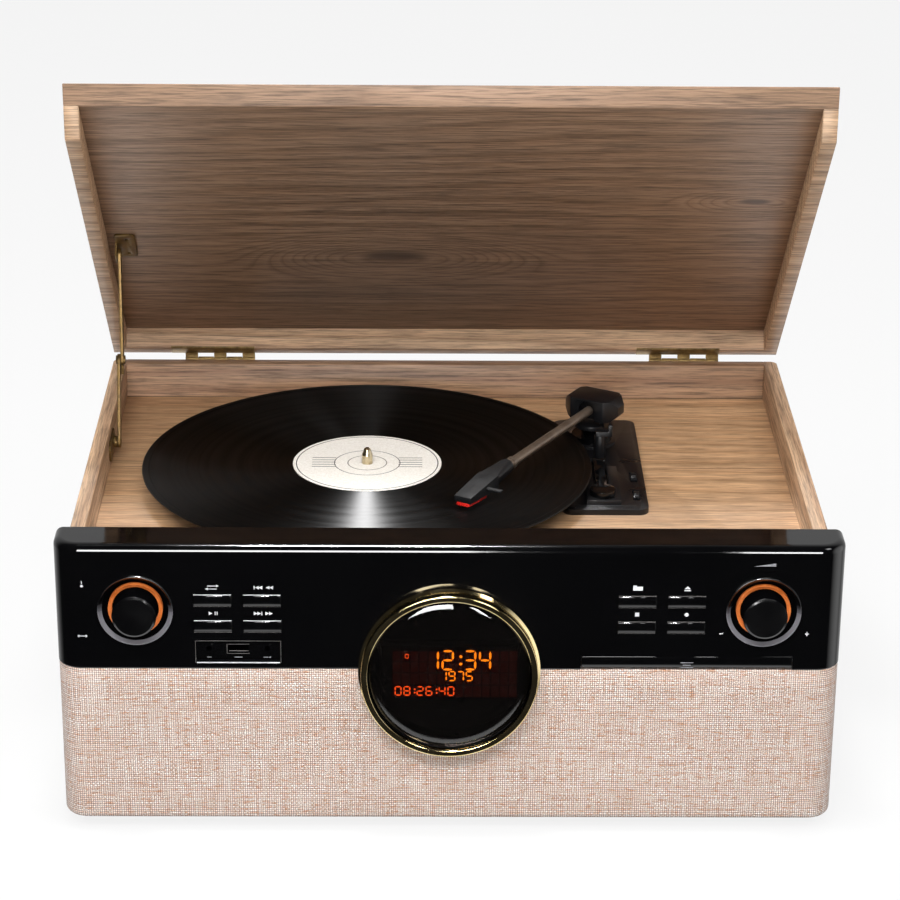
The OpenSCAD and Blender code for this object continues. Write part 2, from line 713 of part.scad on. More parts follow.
// ---------- tonearm ----------
module tonearm_base() {
    rest_x = pivot_x + 4;
    rest_y = pivot_y - 33;
    rest_top = arm_z - tube_r - 0.6;
    color("#151517") {
        difference() {
            union() {
                translate([(base_x0 + base_x1) / 2, (base_y0 + base_y1) / 2, deck_z]) linear_extrude(base_t)
                    plate_2d(base_x1 - base_x0, base_y1 - base_y0, 7);
                // Raised plinth round the cue lever, and the ribbed strip along the front
                box([cue_x - 11, base_y0 + 8, base_top - over], [cue_x + 12, base_y0 + 70, base_top + 3]);
                for (i = [0 : 3]) box([base_x0 + 8, base_y0 + 1 + i * 1.6, base_top - over],
                    [base_x1 - 8, base_y0 + 1.9 + i * 1.6, base_top + 0.5]);
                // Ring round the post
                translate([pivot_x, pivot_y, base_top - over]) cylinder(r = 17, h = over + 2);
            }
            translate([pivot_x, pivot_y, deck_z - over]) cylinder(r = 7 + seat, h = 20);
            // Slot that the cue lever swings in, and the hole of its pin
            box([cue_x - 5, base_y0 + 12, base_top - 1], [cue_x + 5, base_y0 + 90, base_top + 10]);
            // Switch channels
            for (y = switch_y) box([switch_x - 2.5, y - 9, base_top - 2], [switch_x + 2.5, y + 9,
                base_top + over]);
        }
        // Arm rest: post, cradle and the horn the arm parks against
        translate([rest_x, rest_y, base_top + seat]) cylinder(r = 4, h = rest_top - 3 - base_top);
        box([rest_x - 3, rest_y - 3, rest_top - 3.4], [rest_x + 8, rest_y + 3, rest_top]);
        box([rest_x + 5.5, rest_y - 3, rest_top - 3.4], [rest_x + 8, rest_y + 3, arm_z + 1]);
    }
}
module arm_post() {
    color("#1a1a1c") translate([pivot_x, pivot_y, 0]) difference() {
        union() {
            translate([0, 0, deck_z - deck_t - 3]) cylinder(r = 7, h = arm_z - 13 - (deck_z - deck_t - 3));
            translate([0, 0, base_top + 2 + seat]) cylinder(r = 14, h = 4);
        }
        translate([0, 0, deck_z]) cylinder(r = 2.5 + run, h = 40);
    }
}
module arm_yoke() {
    // Turning yoke: a pin in the post, a round table and two ears for the lift pin
    color("#202023") translate([pivot_x, pivot_y, 0]) rotate([0, 0, -arm_angle]) difference() {
        union() {
            translate([0, 0, deck_z + 2]) cylinder(r = 2.5, h = arm_z - 12 - deck_z);
            translate([0, 0, arm_z - 12.6]) cylinder(r = 12, h = 3);
            for (s = [-1, 1]) box([s > 0 ? 9 : -12, -5, arm_z - 11], [s > 0 ? 12 : -9, 2.2, arm_z + 4]);
        }
        translate([0, 0, arm_z]) rod_x(1.6 + run, -20, 20);
    }
}
module arm_frame() {
    translate([pivot_x, pivot_y, 0]) rotate([0, 0, -arm_angle]) children();
}
// Rectangle with its four corners cut off
module cut_rectangle(x, lo, hi, cut) {
    polygon([[-x + cut, lo], [x - cut, lo], [x, lo + cut], [x, hi - cut], [x - cut, hi], [-x + cut, hi],
        [-x, hi - cut],
        [-x, lo + cut]]);
}
module counterweight() {
    // Eight-sided block over the yoke, with the lift pin through it and an arched recess at the arm
    h0 = arm_z - 6;
    h1 = arm_z + 9;
    color("#121214") arm_frame() difference() {
        intersection() {
            translate([0, 0, h0]) linear_extrude(h1 - h0) cut_rectangle(20.5, -9, 16, 8);
            rotate([90, 0, 0]) linear_extrude(80, center = true) cut_rectangle(20.5, h0, h1, 4.5);
        }
        for (s = [-1, 1]) translate([s * 10.5, 0, 0]) box([-1.9, -6, h0 - over], [1.9, 3.2, arm_z + 4.8]);
        // Arched recess and the hole of the arm tube
        translate([0, 0, arm_z + 1.5]) rod_y(6.2, -10, -5);
        box([-6.2, -10, h0 - over], [6.2, -5, arm_z + 1.5]);
        translate([0, 0, arm_z]) rod_y(tube_r + seat, -20, 6.2);
    }
    color("#8a8a8e") arm_frame() for (s = [-1, 1]) translate([s * 10.5, 0, arm_z]) rod_x(1.6, -1.9, 1.9);
}
module arm_tube() {
    color("#a39384") arm_frame() translate([0, 0, arm_z]) {
        rod_y(tube_r, -arm_l + 52, 6);
        // Collar where the tube enters the headshell
        rod_y(tube_r + 0.8, -arm_l + 56.4, -arm_l + 60);
    }
}
module headshell() {
    color("#121214") arm_frame() difference() {
        union() {
            hull() {
                translate([0, -arm_l + 50, arm_z]) sphere(r = tube_r + 2, $fn = 24);
                translate([-6, -arm_l + 26, arm_z - 4]) cube([12, 2, 7]);
            }
            hull() {
                translate([-7, -arm_l + 24, arm_z - 6]) cube([14, 4, 9]);
                translate([-6, -arm_l - 8, arm_z - 5]) cube([12, 2, 4]);
            }
            // Finger lift
            translate([5, -arm_l + 12, arm_z - 2]) cube([12, 3, 1.4]);
        }
        translate([0, -arm_l, arm_z]) rod_y(tube_r + seat, 51.7, 60);
    }
}
module stylus() {
    color("#d8201c") arm_frame() {
        difference() {
            hull() {
                translate([-4.5, -arm_l + 14, arm_z - 9]) cube([9, 2, 2.85]);
                translate([-4.5, -arm_l - 8, arm_z - 7.4]) cube([9, 2, 2.25]);
            }
            box([-3, -arm_l - 4, arm_z - 12], [3, -arm_l + 4, arm_z - 7.5]);
        }
        translate([0, -arm_l, arm_z - tip_drop]) cylinder(r1 = 0.2, r2 = 0.6, h = tip_drop - 7, $fn = 16);
    }
}
module cue_lever() {
    color("#1b1b1e") {
        box([cue_x - 3.5, cue_y - cue_len, base_top + 2.2], [cue_x + 3.5, cue_y, base_top + 5.2]);
        translate([cue_x, cue_y - cue_len, base_top + 3.4]) cylinder(r = 8.5, h = 4);
        // Pivot barrel at its back end
        translate([cue_x, cue_y, base_top + 3.7]) rod_x(2.2, -4.4, 4.4);
    }
}
module switch_cap(y) {
    color("#242428") translate([switch_x, y, base_top - 2]) {
        box([-2.2, -3.5, 0.3], [2.2, 3.5, 2.4]);
        box([-1.8, -2, 2], [1.8, 2, 4.4]);
    }
}
module speed_switch() { switch_cap(switch_y[0]); }
module auto_stop_switch() { switch_cap(switch_y[1]); }

// ---------- lid ----------
// Side view of the shut lid: the front is one slanted cut through the side rails and the top board
module lid_outline(z0, z1) {
    slope = lid_slant / (lid_top_z - lid_rim_z);
    polygon([[lid_back, z0], [lid_front + slope * (lid_top_z - z0), z0],
        [lid_front + slope * (lid_top_z - z1), z1],
        [lid_back, z1]]);
}
module lid_rails() {
    color("#c19a6b") opened() difference() {
        translate([-body_w / 2, 0, 0]) rotate([90, 0, 90]) linear_extrude(body_w) lid_outline(lid_rim_z,
            ceiling_z);
        box([-inner_x, front_y - 20, lid_rim_z - over], [inner_x, lid_back - board_t, ceiling_z + over]);
        // Leaf recesses in the back rail
        for (s = [-1, 1]) box([s * hinge_x - hinge_w / 2 - seat, lid_back - board_t - over,
            lid_rim_z - over],
            [s * hinge_x + hinge_w / 2 + seat, lid_back + over, lid_rim_z + 1.2 + seat]);
    }
}
module lid_top() {
    color("#bd9668") opened() translate([-body_w / 2, 0, 0]) rotate([90, 0, 90]) linear_extrude(body_w)
        lid_outline(ceiling_z, lid_top_z);
}
tab_pitch = 20.6;
function tab_at(i) = -hinge_w / 2 + 9.7 + i * tab_pitch;
module hinge_box_leaves() {
    color("#6b5430") for (s = [-1, 1]) translate([s * hinge_x, 0, 0]) {
        difference() {
            union() {
                box([-hinge_w / 2, back_y, axis_z - 18], [hinge_w / 2, back_y + 1.2,
                    axis_z - knuckle_r - clear]);
                for (i = [0 : 1]) translate([tab_at(i) + tab_w + clear, 0, 0]) {
                    translate([0, axis_y, axis_z]) rod_x(knuckle_r, 0, tab_pitch - tab_w - 2 * clear);
                    box([0, back_y, axis_z - 3], [tab_pitch - tab_w - 2 * clear, axis_y - 0.7,
                        axis_z - 0.2]);
                }
            }
            for (i = [-1, 1]) translate([i * 20, 0, axis_z - 11]) rod_y(1.8, back_y - over, back_y + 3);
        }
        translate([0, axis_y, axis_z]) rod_x(pin_r, tab_at(0), tab_at(2) + tab_w);
    }
}
module hinge_lid_leaves() {
    color("#6b5430") opened() for (s = [-1, 1]) translate([s * hinge_x, 0, 0]) difference() {
        union() {
            box([-hinge_w / 2, lid_back - board_t, lid_rim_z], [hinge_w / 2, lid_back, lid_rim_z + 1.2]);
            for (i = [0 : 2]) translate([tab_at(i), 0, 0]) {
                translate([0, axis_y, axis_z]) rod_x(knuckle_r, 0, tab_w);
                rotate([90, 0, 90]) linear_extrude(tab_w) polygon([[lid_back - 1.2, lid_rim_z + 0.6],
                    [lid_back, lid_rim_z + 1.2],
                    [axis_y + 1.4, axis_z + 0.6], [axis_y - 1.2, axis_z + 1]]);
            }
        }
        translate([0, axis_y, axis_z]) rod_x(pin_r + run, -hinge_w, hinge_w);
    }
}

// ---------- lid stay ----------
// A flat link along Z from its own origin, with round ends
module link(len, r_hole) {
    rotate([90, 0, 90]) linear_extrude(stay_arm_t, center = true) difference() {
        union() {
            translate([-stay_arm_w / 2, 0]) square([stay_arm_w, len]);
            circle(stay_arm_w / 2);
            translate([0, len]) circle(stay_arm_w / 2);
        }
        if (r_hole > 0) circle(r_hole);
    }
}
function lean(from, to) = atan2(to[0] - from[0], to[1] - from[1]);
lower_x = stay_x;
upper_x = stay_x + stay_arm_t + clear;
module stay_base_bracket() {
    color("#5d4a2c") translate([stay_foot[0], stay_foot[1], stay_foot[2]]) {
        difference() {
            translate([0, 0, 0]) rotate([90, 0, 90]) linear_extrude(1.4) translate([-6, 0]) plate_2d(34,
                15, 6);
            for (y = [-16, 4]) translate([0, y, y < 0 ? 0 : 4]) rod_x(1.2, -over, 4);
        }
        rod_x(4, 1.3, lower_x - stay_arm_t / 2 - clear - stay_foot[0]);
        rod_x(rivet_r, 1.3, lower_x - stay_foot[0] + stay_arm_t / 2 + 0.4);
    }
}
module stay_lower_arm() {
    color("#6b5430") translate([lower_x, stay_foot[1], stay_foot[2]])
        rotate([-lean([stay_foot[1], stay_foot[2]], stay_open), 0, 0]) {
            link(lower_l, rivet_r + run);
            // Elbow rivet head
            translate([0, 0, lower_l]) rod_x(3, -stay_arm_t / 2 - 1, 0);
        }
}
module stay_upper_arm() {
    color("#6b5430") translate([upper_x, stay_top_open[0], stay_top_open[1]])
        rotate([-lean(stay_top_open, stay_open), 0, 0]) {
            link(upper_l, rivet_r + run);
            translate([0, 0, upper_l]) rod_x(3, 0, stay_arm_t / 2 + 1);
            // Hooked end that stops the elbow straight
            translate([0, 0, upper_l + 8]) rotate([90, 0, 90]) linear_extrude(stay_arm_t, center = true)
                translate([-2, -6]) square([4, 8]);
        }
}
module stay_lid_bracket() {
    ear_x = upper_x - stay_arm_t / 2 - clear;
    color("#5d4a2c") opened() {
        difference() {
            union() {
                translate([ear_x - 1.4 + 7, stay_top_shut[0] - 2, ceiling_z - 1.4]) linear_extrude(1.4)
                    plate_2d(14, 34, 3);
                box([ear_x - 1.4, stay_top_shut[0] - 6, stay_top_shut[1] - 4], [ear_x,
                    stay_top_shut[0] + 6, ceiling_z - 0.7]);
            }
            for (y = [-12, 9]) translate([ear_x + 7, stay_top_shut[0] + y, ceiling_z - 4])
                cylinder(r = 1.2, h = 6);
        }
        translate([0, stay_top_shut[0], stay_top_shut[1]]) rod_x(rivet_r, ear_x - over,
            upper_x + stay_arm_t / 2 + 0.4);
    }
}

side_panels();
back_panel();
bottom_panel();
deck_panel();
front_fascia();
baffle_panel();
grille_cloth();
speakers();
display_drum();
display_bezel();
display_lens();
display_module();
knob_dishes();
light_rings();
source_knob();
volume_knob();
key_repeat();
key_scan();
key_back();
key_forward();
key_folder();
key_menu();
key_eject();
key_record();
port_panel();
disc_drive();
disc_tray();
electronics();
rear_connectors();
cassette_deck();
cassette_flap();
rubber_feet();
cabinet_screws();
turntable_drive();
drive_belt();
motor_pulley();
spindle();
platter();
slipmat();
vinyl_record();
record_label();
tonearm_base();
arm_post();
arm_yoke();
arm_tube();
counterweight();
headshell();
stylus();
cue_lever();
speed_switch();
auto_stop_switch();
front_board();
hinge_box_leaves();
hinge_lid_leaves();
lid_top();
lid_rails();
stay_base_bracket();
stay_lower_arm();
stay_upper_arm();
stay_lid_bracket();
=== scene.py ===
# %% [markdown]
# # A table-top stereo music centre
# The object is a wooden cabinet with a hinged lid, a record player under it, a gloss black fascia with knobs,
# keys and a round display, and a cloth grille below. Its exact solids come from CAD and are loaded as a fixed
# frame. This lesson dresses them: some solids only get a better finish, and others are replaced by meshes with
# the soft edges, threads and small fittings that a solid model leaves out.

# %% Load the frame
import json
import math

import bpy
from mathutils import Matrix, Vector


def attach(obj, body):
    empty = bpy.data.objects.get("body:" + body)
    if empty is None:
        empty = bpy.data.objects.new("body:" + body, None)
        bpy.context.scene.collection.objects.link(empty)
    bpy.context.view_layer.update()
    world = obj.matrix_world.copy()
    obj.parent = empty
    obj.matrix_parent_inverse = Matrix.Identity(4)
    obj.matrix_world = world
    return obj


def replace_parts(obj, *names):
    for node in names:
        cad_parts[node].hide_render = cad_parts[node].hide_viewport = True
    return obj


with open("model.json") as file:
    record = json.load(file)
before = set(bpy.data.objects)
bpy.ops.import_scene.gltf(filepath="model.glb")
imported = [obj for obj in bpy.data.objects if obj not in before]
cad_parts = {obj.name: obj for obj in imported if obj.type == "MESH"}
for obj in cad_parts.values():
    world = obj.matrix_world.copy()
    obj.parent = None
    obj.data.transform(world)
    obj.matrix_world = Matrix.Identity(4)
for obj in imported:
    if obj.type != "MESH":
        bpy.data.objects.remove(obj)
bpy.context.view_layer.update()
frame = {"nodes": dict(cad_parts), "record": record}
nodes = frame["nodes"]

# %% [markdown]
# ## Camera
# The photograph was taken with a long lens from above the middle. Its place and its tilt were worked out from
# straight edges of known length, such as the cabinet's corners and the record, so they are typed here as they
# came out. A real camera body was shifted a little too, so the picture's centre isn't on the lens axis.

# %% Camera
PICTURE = 900
FOCAL_PX = 3099.1
CENTRE_PX = (448.85, 588.1)
PITCH, YAW, ROLL = (math.radians(a) for a in (24.12, 0.70, 0.46))

camera = bpy.data.objects.new("camera", bpy.data.cameras.new("camera"))
bpy.context.scene.collection.objects.link(camera)
bpy.context.scene.camera = camera
forward = Vector((math.sin(YAW) * math.cos(PITCH), math.cos(YAW) * math.cos(PITCH), -math.sin(PITCH)))
right = Vector((math.cos(YAW), -math.sin(YAW), 0))
up = right.cross(forward)
tilted_right = right * math.cos(ROLL) + up * math.sin(ROLL)
tilted_up = up * math.cos(ROLL) - right * math.sin(ROLL)
turned = Matrix((tilted_right, tilted_up, -forward)).transposed().to_4x4()
camera.matrix_world = Matrix.Translation((-0.02213, -1.93515, 0.95544)) @ turned
camera.data.sensor_width = 36
camera.data.lens = FOCAL_PX / PICTURE * camera.data.sensor_width
camera.data.shift_x = (PICTURE / 2 - CENTRE_PX[0]) / PICTURE
camera.data.shift_y = (CENTRE_PX[1] - PICTURE / 2) / PICTURE
camera.data.clip_end = 20
print("lens in mm:", round(camera.data.lens, 1))

# %% [markdown]
# ## One function for colours and one for nodes
# Every colour below is written as it would be in a paint program, as an sRGB hex value, and one function turns
# it to the linear light that Blender works in. A shader is a tree of nodes, and one small function adds a node,
# sets its fields and joins its inputs, which keeps each finish a few lines long.

# %% Colour and node helpers
MM = 0.001


def linear(hex_value):
    """sRGB hex text to linear red, green, blue and alpha."""
    parts = [int(hex_value[i:i + 2], 16) / 255 for i in (1, 3, 5)]
    return [c / 12.92 if c <= 0.04045 else ((c + 0.055) / 1.055) ** 2.4 for c in parts] + [1]


def add(tree, kind, inputs=None, stops=None, **fields):
    """Adds one node. An input that is a socket is joined, and any other value is set."""
    node = tree.nodes.new("ShaderNode" + kind)
    for name, value in fields.items():
        setattr(node, name, value)
    for i, (place, colour) in enumerate(stops or []):
        element = node.color_ramp.elements[i] if i < 2 else node.color_ramp.elements.new(place)
        element.position, element.color = place, linear(colour)
    for key, value in (inputs or {}).items():
        if isinstance(value, bpy.types.NodeSocket):
            tree.links.new(value, node.inputs[key])
        else:
            node.inputs[key].default_value = value
    return node


def maths(tree, operation, *values):
    """The result of a Math node."""
    return add(tree, "Math", dict(enumerate(values)), operation=operation).outputs[0]


def remap(tree, value, low, high, new_low, new_high, **fields):
    """A value moved from one range to another."""
    return add(tree, "MapRange", dict(enumerate((value, low, high, new_low, new_high))), **fields).outputs[0]


def noise(tree, place, scale, detail=2.0, roughness=0.5):
    return add(tree, "TexNoise", {"Vector": place, "Scale": scale, "Detail": detail,
                                  "Roughness": roughness}).outputs[0]


def stretched(tree, place, scale, location=(0, 0, 0)):
    return add(tree, "Mapping", {"Vector": place, "Scale": scale, "Location": location}).outputs[0]


def mixed(tree, share, first, second):
    """Two colours, mixed by share."""
    return add(tree, "Mix", {"Factor": share, 6: first, 7: second}, data_type="RGBA").outputs[2]


def bumped(tree, strength, distance, height):
    return add(tree, "Bump", {"Strength": strength, "Distance": distance, "Height": height}).outputs[0]


def own_place(tree):
    """The place on the object, in metres."""
    return add(tree, "TexCoord").outputs["Object"]


def wire(shader, **sources):
    """Joins sockets to the shader's inputs of those names, written with underscores."""
    for name, source in sources.items():
        shader.id_data.links.new(source, shader.inputs[name.replace("_", " ")])


def new_finish(name, sockets):
    """A material with its shader's own sockets set. Returns the material, its tree and its shader."""
    material = bpy.data.materials.new(name)
    material.use_nodes = True
    shader = material.node_tree.nodes["Principled BSDF"]
    for key, value in sockets.items():
        shader.inputs[key].default_value = linear(value) if isinstance(value, str) else value
    return material, material.node_tree, shader


def give(material, *pieces):
    """Puts a material on CAD nodes, by name, or on pieces."""
    for piece in pieces:
        piece = nodes[piece] if isinstance(piece, str) else piece
        piece.data.materials.clear()
        piece.data.materials.append(material)

# %% [markdown]
# ## Studio
# A product picture like this is taken on a white sweep with large soft lamps. The floor is a pale plane that
# keeps a faint shadow. The world is plain white where the camera or a clear part sees it. Where it lights the
# object it is dimmer, and a mirror-like surface sees it dark towards the front, as in a real studio, where the
# room behind the camera is unlit: that is what makes black gloss look black. Soft panels light the object. Most
# of them don't show in gloss, and three cards show in gloss only: the one overhead draws the wedge on the record.

# %% Floor, world and lamps
FLOOR_GLOW, FLOOR_SHARE = 1.25, 0.68
WORLD_LIGHT = 0.26
WHITE = linear("#ffffff")

bpy.ops.mesh.primitive_plane_add(size=9, location=(0, 1.5, 0))
floor = bpy.context.object
floor.name = "floor"
floor.visible_glossy = False
paper, tree, shader = new_finish("white_paper_sweep", {"Base Color": "#8c8c8c", "Roughness": 0.9})
seen = add(tree, "LightPath")
glow = add(tree, "Emission", {"Color": WHITE, "Strength": FLOOR_GLOW})
blend = add(tree, "MixShader", {1: shader.outputs[0], 2: glow.outputs[0]})
share = maths(tree, "MULTIPLY", seen.outputs["Is Camera Ray"], FLOOR_SHARE)
tree.links.new(share, blend.inputs[0])
tree.links.new(blend.outputs[0], tree.nodes["Material Output"].inputs[0])
give(paper, floor)

world = bpy.data.worlds.new("studio")
bpy.context.scene.world = world
world.use_nodes = True
tree = world.node_tree
tree.nodes.clear()
seen = add(tree, "LightPath")
direct = maths(tree, "MAXIMUM", seen.outputs["Is Camera Ray"], seen.outputs["Is Transmission Ray"])
towards = add(tree, "SeparateXYZ", {0: add(tree, "TexCoord").outputs["Generated"]})
# Gloss sees it by direction: nearly black in front, bright behind, bright steeply below and bright on the right
either = remap(tree, towards.outputs["Y"], 0.1, 0.6, 0.02, 0.6)
for axis, ends in (("Z", (-0.66, -0.58, 2.0, 0.0)), ("X", (0.75, 0.95, 0.0, 1.6))):
    part = remap(tree, towards.outputs[axis], *ends)
    either = maths(tree, "MAXIMUM", either, part)
mirrored, white, dim = (add(tree, "Background", {"Color": WHITE, "Strength": strength}).outputs[0]
                        for strength in (either, 1.0, WORLD_LIGHT))
soft = add(tree, "MixShader", {0: seen.outputs["Is Glossy Ray"], 1: dim, 2: mirrored}).outputs[0]
chosen = add(tree, "MixShader", {0: direct, 1: soft, 2: white}).outputs[0]
add(tree, "OutputWorld", {0: chosen})


def soft_panel(name, place, target, size, watts, mirrored=True, lights=True):
    """A rectangular area lamp that looks at a target. It may show in gloss only, or not in gloss."""
    lamp = bpy.data.objects.new(name, bpy.data.lights.new(name, "AREA"))
    bpy.context.scene.collection.objects.link(lamp)
    lamp.data.shape = "RECTANGLE"
    lamp.data.size, lamp.data.size_y = size
    lamp.data.energy = watts
    lamp.location = place
    lamp.visible_glossy, lamp.visible_diffuse = mirrored, lights
    lamp.rotation_euler = (Vector(target) - Vector(place)).to_track_quat("-Z", "Y").to_euler()


soft_panel("panel_left", (-1.2, -1.35, 2.1), (0, 0, 0.15), (1.2, 1.0), 16, mirrored=False)
soft_panel("panel_right", (1.3, -1.1, 2.0), (0, 0, 0.15), (0.7, 0.7), 10)
soft_panel("panel_front", (-0.1, -1.55, 1.85), (0, 0, 0.15), (1.6, 0.4), 38, mirrored=False)
soft_panel("panel_low", (0, -2.2, 1.2), (0, 0, 0.25), (1.2, 0.5), 14, mirrored=False)
soft_panel("panel_top", (-0.12, -0.25, 1.9), (-0.054, 0, 0.1), (0.5, 0.7), 12, mirrored=False)
soft_panel("card_top", (-0.09, -0.25, 1.9), (-0.054, 0, 0.1), (0.24, 0.2), 240, lights=False)
soft_panel("card_left", (-0.206, -1.9, 0.40), (-0.1, -0.18, 0.2), (0.53, 0.7), 32, lights=False)
soft_panel("card_right", (0.437, -1.9, 0.38), (0.2, -0.18, 0.2), (0.15, 0.6), 8, lights=False)
bpy.context.scene.view_settings.view_transform = "Standard"

# %% [markdown]
# ## Oak laminate
# The cabinet is fibreboard wrapped in a printed and embossed oak film with a satin lacquer. Two things tell the
# eye that it is oak: broad flame-shaped bands where a plank cuts the growth rings at a slant, and fine dark
# fibres along the grain. The bands repeat with the distance across the grain, bent by a slow noise that is
# stretched along it, and each knot pushes the bands aside around itself. One function makes the film for a
# given grain direction, because the film runs along X on the lid and the deck, and has to be turned with the
# lid.

# %% Oak laminate
def oak_laminate(name, turn=(0, 0, 0), shift=(0, 0, 0), band=34, knots=(), joints=(), colours=None):
    """Oak film. turn is in degrees, shift and the knots' places are in millimetres, and band is a band's width."""
    light, middle, dark = colours or ("#c9a684", "#bd9876", "#a98464")
    material, tree, shader = new_finish(name, {"Roughness": 0.5, "Specular IOR Level": 0.42})
    place = own_place(tree)
    # Turned so that the grain runs along X, in units of ten millimetres
    grain = add(tree, "Mapping", {"Vector": place, "Rotation": [math.radians(a) for a in turn],
                                  "Location": [s / 10 for s in shift], "Scale": (100, 100, 100)}).outputs[0]
    slow = stretched(tree, grain, (0.024, 0.1, 0.1))
    swell = add(tree, "TexNoise", {"Vector": slow, "Scale": 1.0, "Detail": 2.5, "Roughness": 0.45})
    across = add(tree, "SeparateXYZ", {0: grain})
    offset = maths(tree, "ADD", across.outputs["Y"], across.outputs["Z"])
    phase = maths(tree, "MULTIPLY_ADD", swell.outputs[0], 9.0, offset)
    heart = None
    for x, y, size in knots:
        # Distance from the knot, with the grain direction shortened, turned to a bump of phase and a dark eye
        gap = add(tree, "VectorMath", {0: grain, 1: (x / 10, y / 10, 0)}, operation="SUBTRACT").outputs[0]
        gap = stretched(tree, gap, (0.38, 1, 0))
        far = add(tree, "VectorMath", {0: gap}, operation="LENGTH").outputs["Value"]
        near = remap(tree, far, 0.0, size / 10, 1.0, 0.0, interpolation_type="SMOOTHERSTEP")
        phase = maths(tree, "MULTIPLY_ADD", near, size / 3.4, phase)
        eye = remap(tree, far, size / 160, size / 42, 0.9, 0.0, interpolation_type="SMOOTHERSTEP")
        heart = eye if heart is None else maths(tree, "MAXIMUM", heart, eye)
    turns = maths(tree, "MULTIPLY", phase, 10 / band)
    ring = maths(tree, "FRACT", turns)
    bands = add(tree, "ValToRGB", {0: ring}, [(0.0, middle), (0.55, light), (0.88, dark), (1.0, middle)])
    # Fibres, a millimetre apart and about thirty times as long, and broader streaks
    fibre = stretched(tree, grain, (0.36, 10, 10))
    fibres = noise(tree, fibre, 1.0, 4.0, 0.65)
    streak = stretched(tree, grain, (0.06, 1.9, 1.9))
    streaks = noise(tree, streak, 1.0, 3.0, 0.6)
    shade = remap(tree, fibres, 0.37, 0.56, 0.5, 1.1)
    broad = remap(tree, streaks, 0.33, 0.66, 0.76, 1.1)
    both = maths(tree, "MULTIPLY", shade, broad)
    toned = add(tree, "VectorMath", {0: bands.outputs[0], "Scale": both}, operation="SCALE").outputs[0]
    if heart is not None:
        toned = mixed(tree, heart, toned, linear("#4a3222"))
    for y, width in joints:
        # A printed plank joint, or at the deck's back edge painted shade in the crease: a thin dark line along the
        # grain
        line = maths(tree, "COMPARE", across.outputs["Y"], y / 10, width / 10)
        toned = mixed(tree, line, toned, linear("#4f3826"))
    wire(shader, Base_Color=toned)
    rough = remap(tree, fibres, 0.3, 0.7, 0.62, 0.42)
    wire(shader, Roughness=rough)
    relief = bumped(tree, 0.35, 0.00025, fibres)
    wire(shader, Normal=relief)
    return material


LID_ANGLE = 42.7
# The deck's line at 172.9 mm is painted shade in the crease at its back edge; the others are plank joints
oak_deck = oak_laminate("oak_laminate_deck", shift=(40, 0, 0), band=17, joints=((172.9, 0.7), (37, 0.35), (-84, 0.3)),
                        colours=("#c49e78", "#bf9771", "#b18963"))
# The lid's colours are darker than the deck's: painted shade, as its underside lies in shade
oak_lid_painted_shade = oak_laminate("oak_laminate_lid_painted_shade", turn=(LID_ANGLE, 0, 0), band=16,
                       knots=((-36, -128.5, 52), (202, -216, 26)), joints=((-193, 0.3), (-60, 0.25)),
                       colours=("#9f7f65", "#97765b", "#85664d"))
oak_rim = oak_laminate("oak_laminate_rim", turn=(LID_ANGLE, 0, 0), shift=(90, 30, 0), band=15)
oak_sides = oak_laminate("oak_laminate_sides", turn=(0, 0, 90), shift=(20, 60, 10), band=18, knots=((40, 96, 30),))
# The back's colours are darker too: painted shade, where the lid shades the back wall
oak_back_painted_shade = oak_laminate("oak_laminate_back_painted_shade", shift=(130, 20, 60), band=16, colours=("#a17e60", "#977356", "#866349"))
print("oak laminate: 5 directions and shades")

# %% [markdown]
# ## Moulded and metal finishes
# Almost everything else is moulded plastic or metal, and these differ in a few things only: the colour, how
# rough the skin is, how much that varies, and the size of its grain. One function takes these, so that every
# finish has a fine grain of its own real size and a slow change of gloss, as handled plastic has.

# %% Grained finishes
def grained(name, light, dark, grain_mm, rough, change=0.06, relief=0.1, patch_mm=30, **sockets):
    """A finish with two close colours, a grain of that size and a slow change of roughness."""
    material, tree, shader = new_finish(name, {key.replace("_", " "): value for key, value in sockets.items()})
    place = own_place(tree)
    fine = noise(tree, place, 1000 / grain_mm, 2.0, 0.6)
    slow = noise(tree, place, 1000 / patch_mm, 3.0, 0.55)
    both = maths(tree, "MULTIPLY_ADD", fine, 0.35, slow)
    tone = add(tree, "ValToRGB", {0: both}, [(0.4, dark), (0.9, light)])
    wire(shader, Base_Color=tone.outputs[0])
    gloss = remap(tree, slow, 0.3, 0.7, max(rough - change, 0.02), rough + change)
    wire(shader, Roughness=gloss)
    bump = bumped(tree, relief, grain_mm * 0.0002, fine)
    wire(shader, Normal=bump)
    return material


# Piano-black ABS from a polished mould: deep, with the faint ripple of the mould
piano_black = grained("piano_black_abs", "#060607", "#040405", 9, 0.06, 0.02, 0.01, 60)
# The knobs and the cups they stand in: gloss on a knob's front only, and matt where the light ring shines
knob_black = grained("knob_black_abs", "#060607", "#040405", 5, 0.16, 0.04, 0.05, 20)
tree = knob_black.node_tree
depth = add(tree, "SeparateXYZ", {0: own_place(tree)}).outputs["Y"]
front_gloss = remap(tree, depth, -0.1932, -0.1925, 0.5, 0.0)
tree.links.new(front_gloss, tree.nodes["Principled BSDF"].inputs["Specular IOR Level"])
# The lip of a cup: deep black above, and grey below, a painted reflection of the pale room that such a lip mirrors
lip_painted_reflection, tree, shader = new_finish("lip_abs_painted_reflection", {})
spot = own_place(tree)
rise = add(tree, "SeparateXYZ", {0: spot}).outputs["Z"]
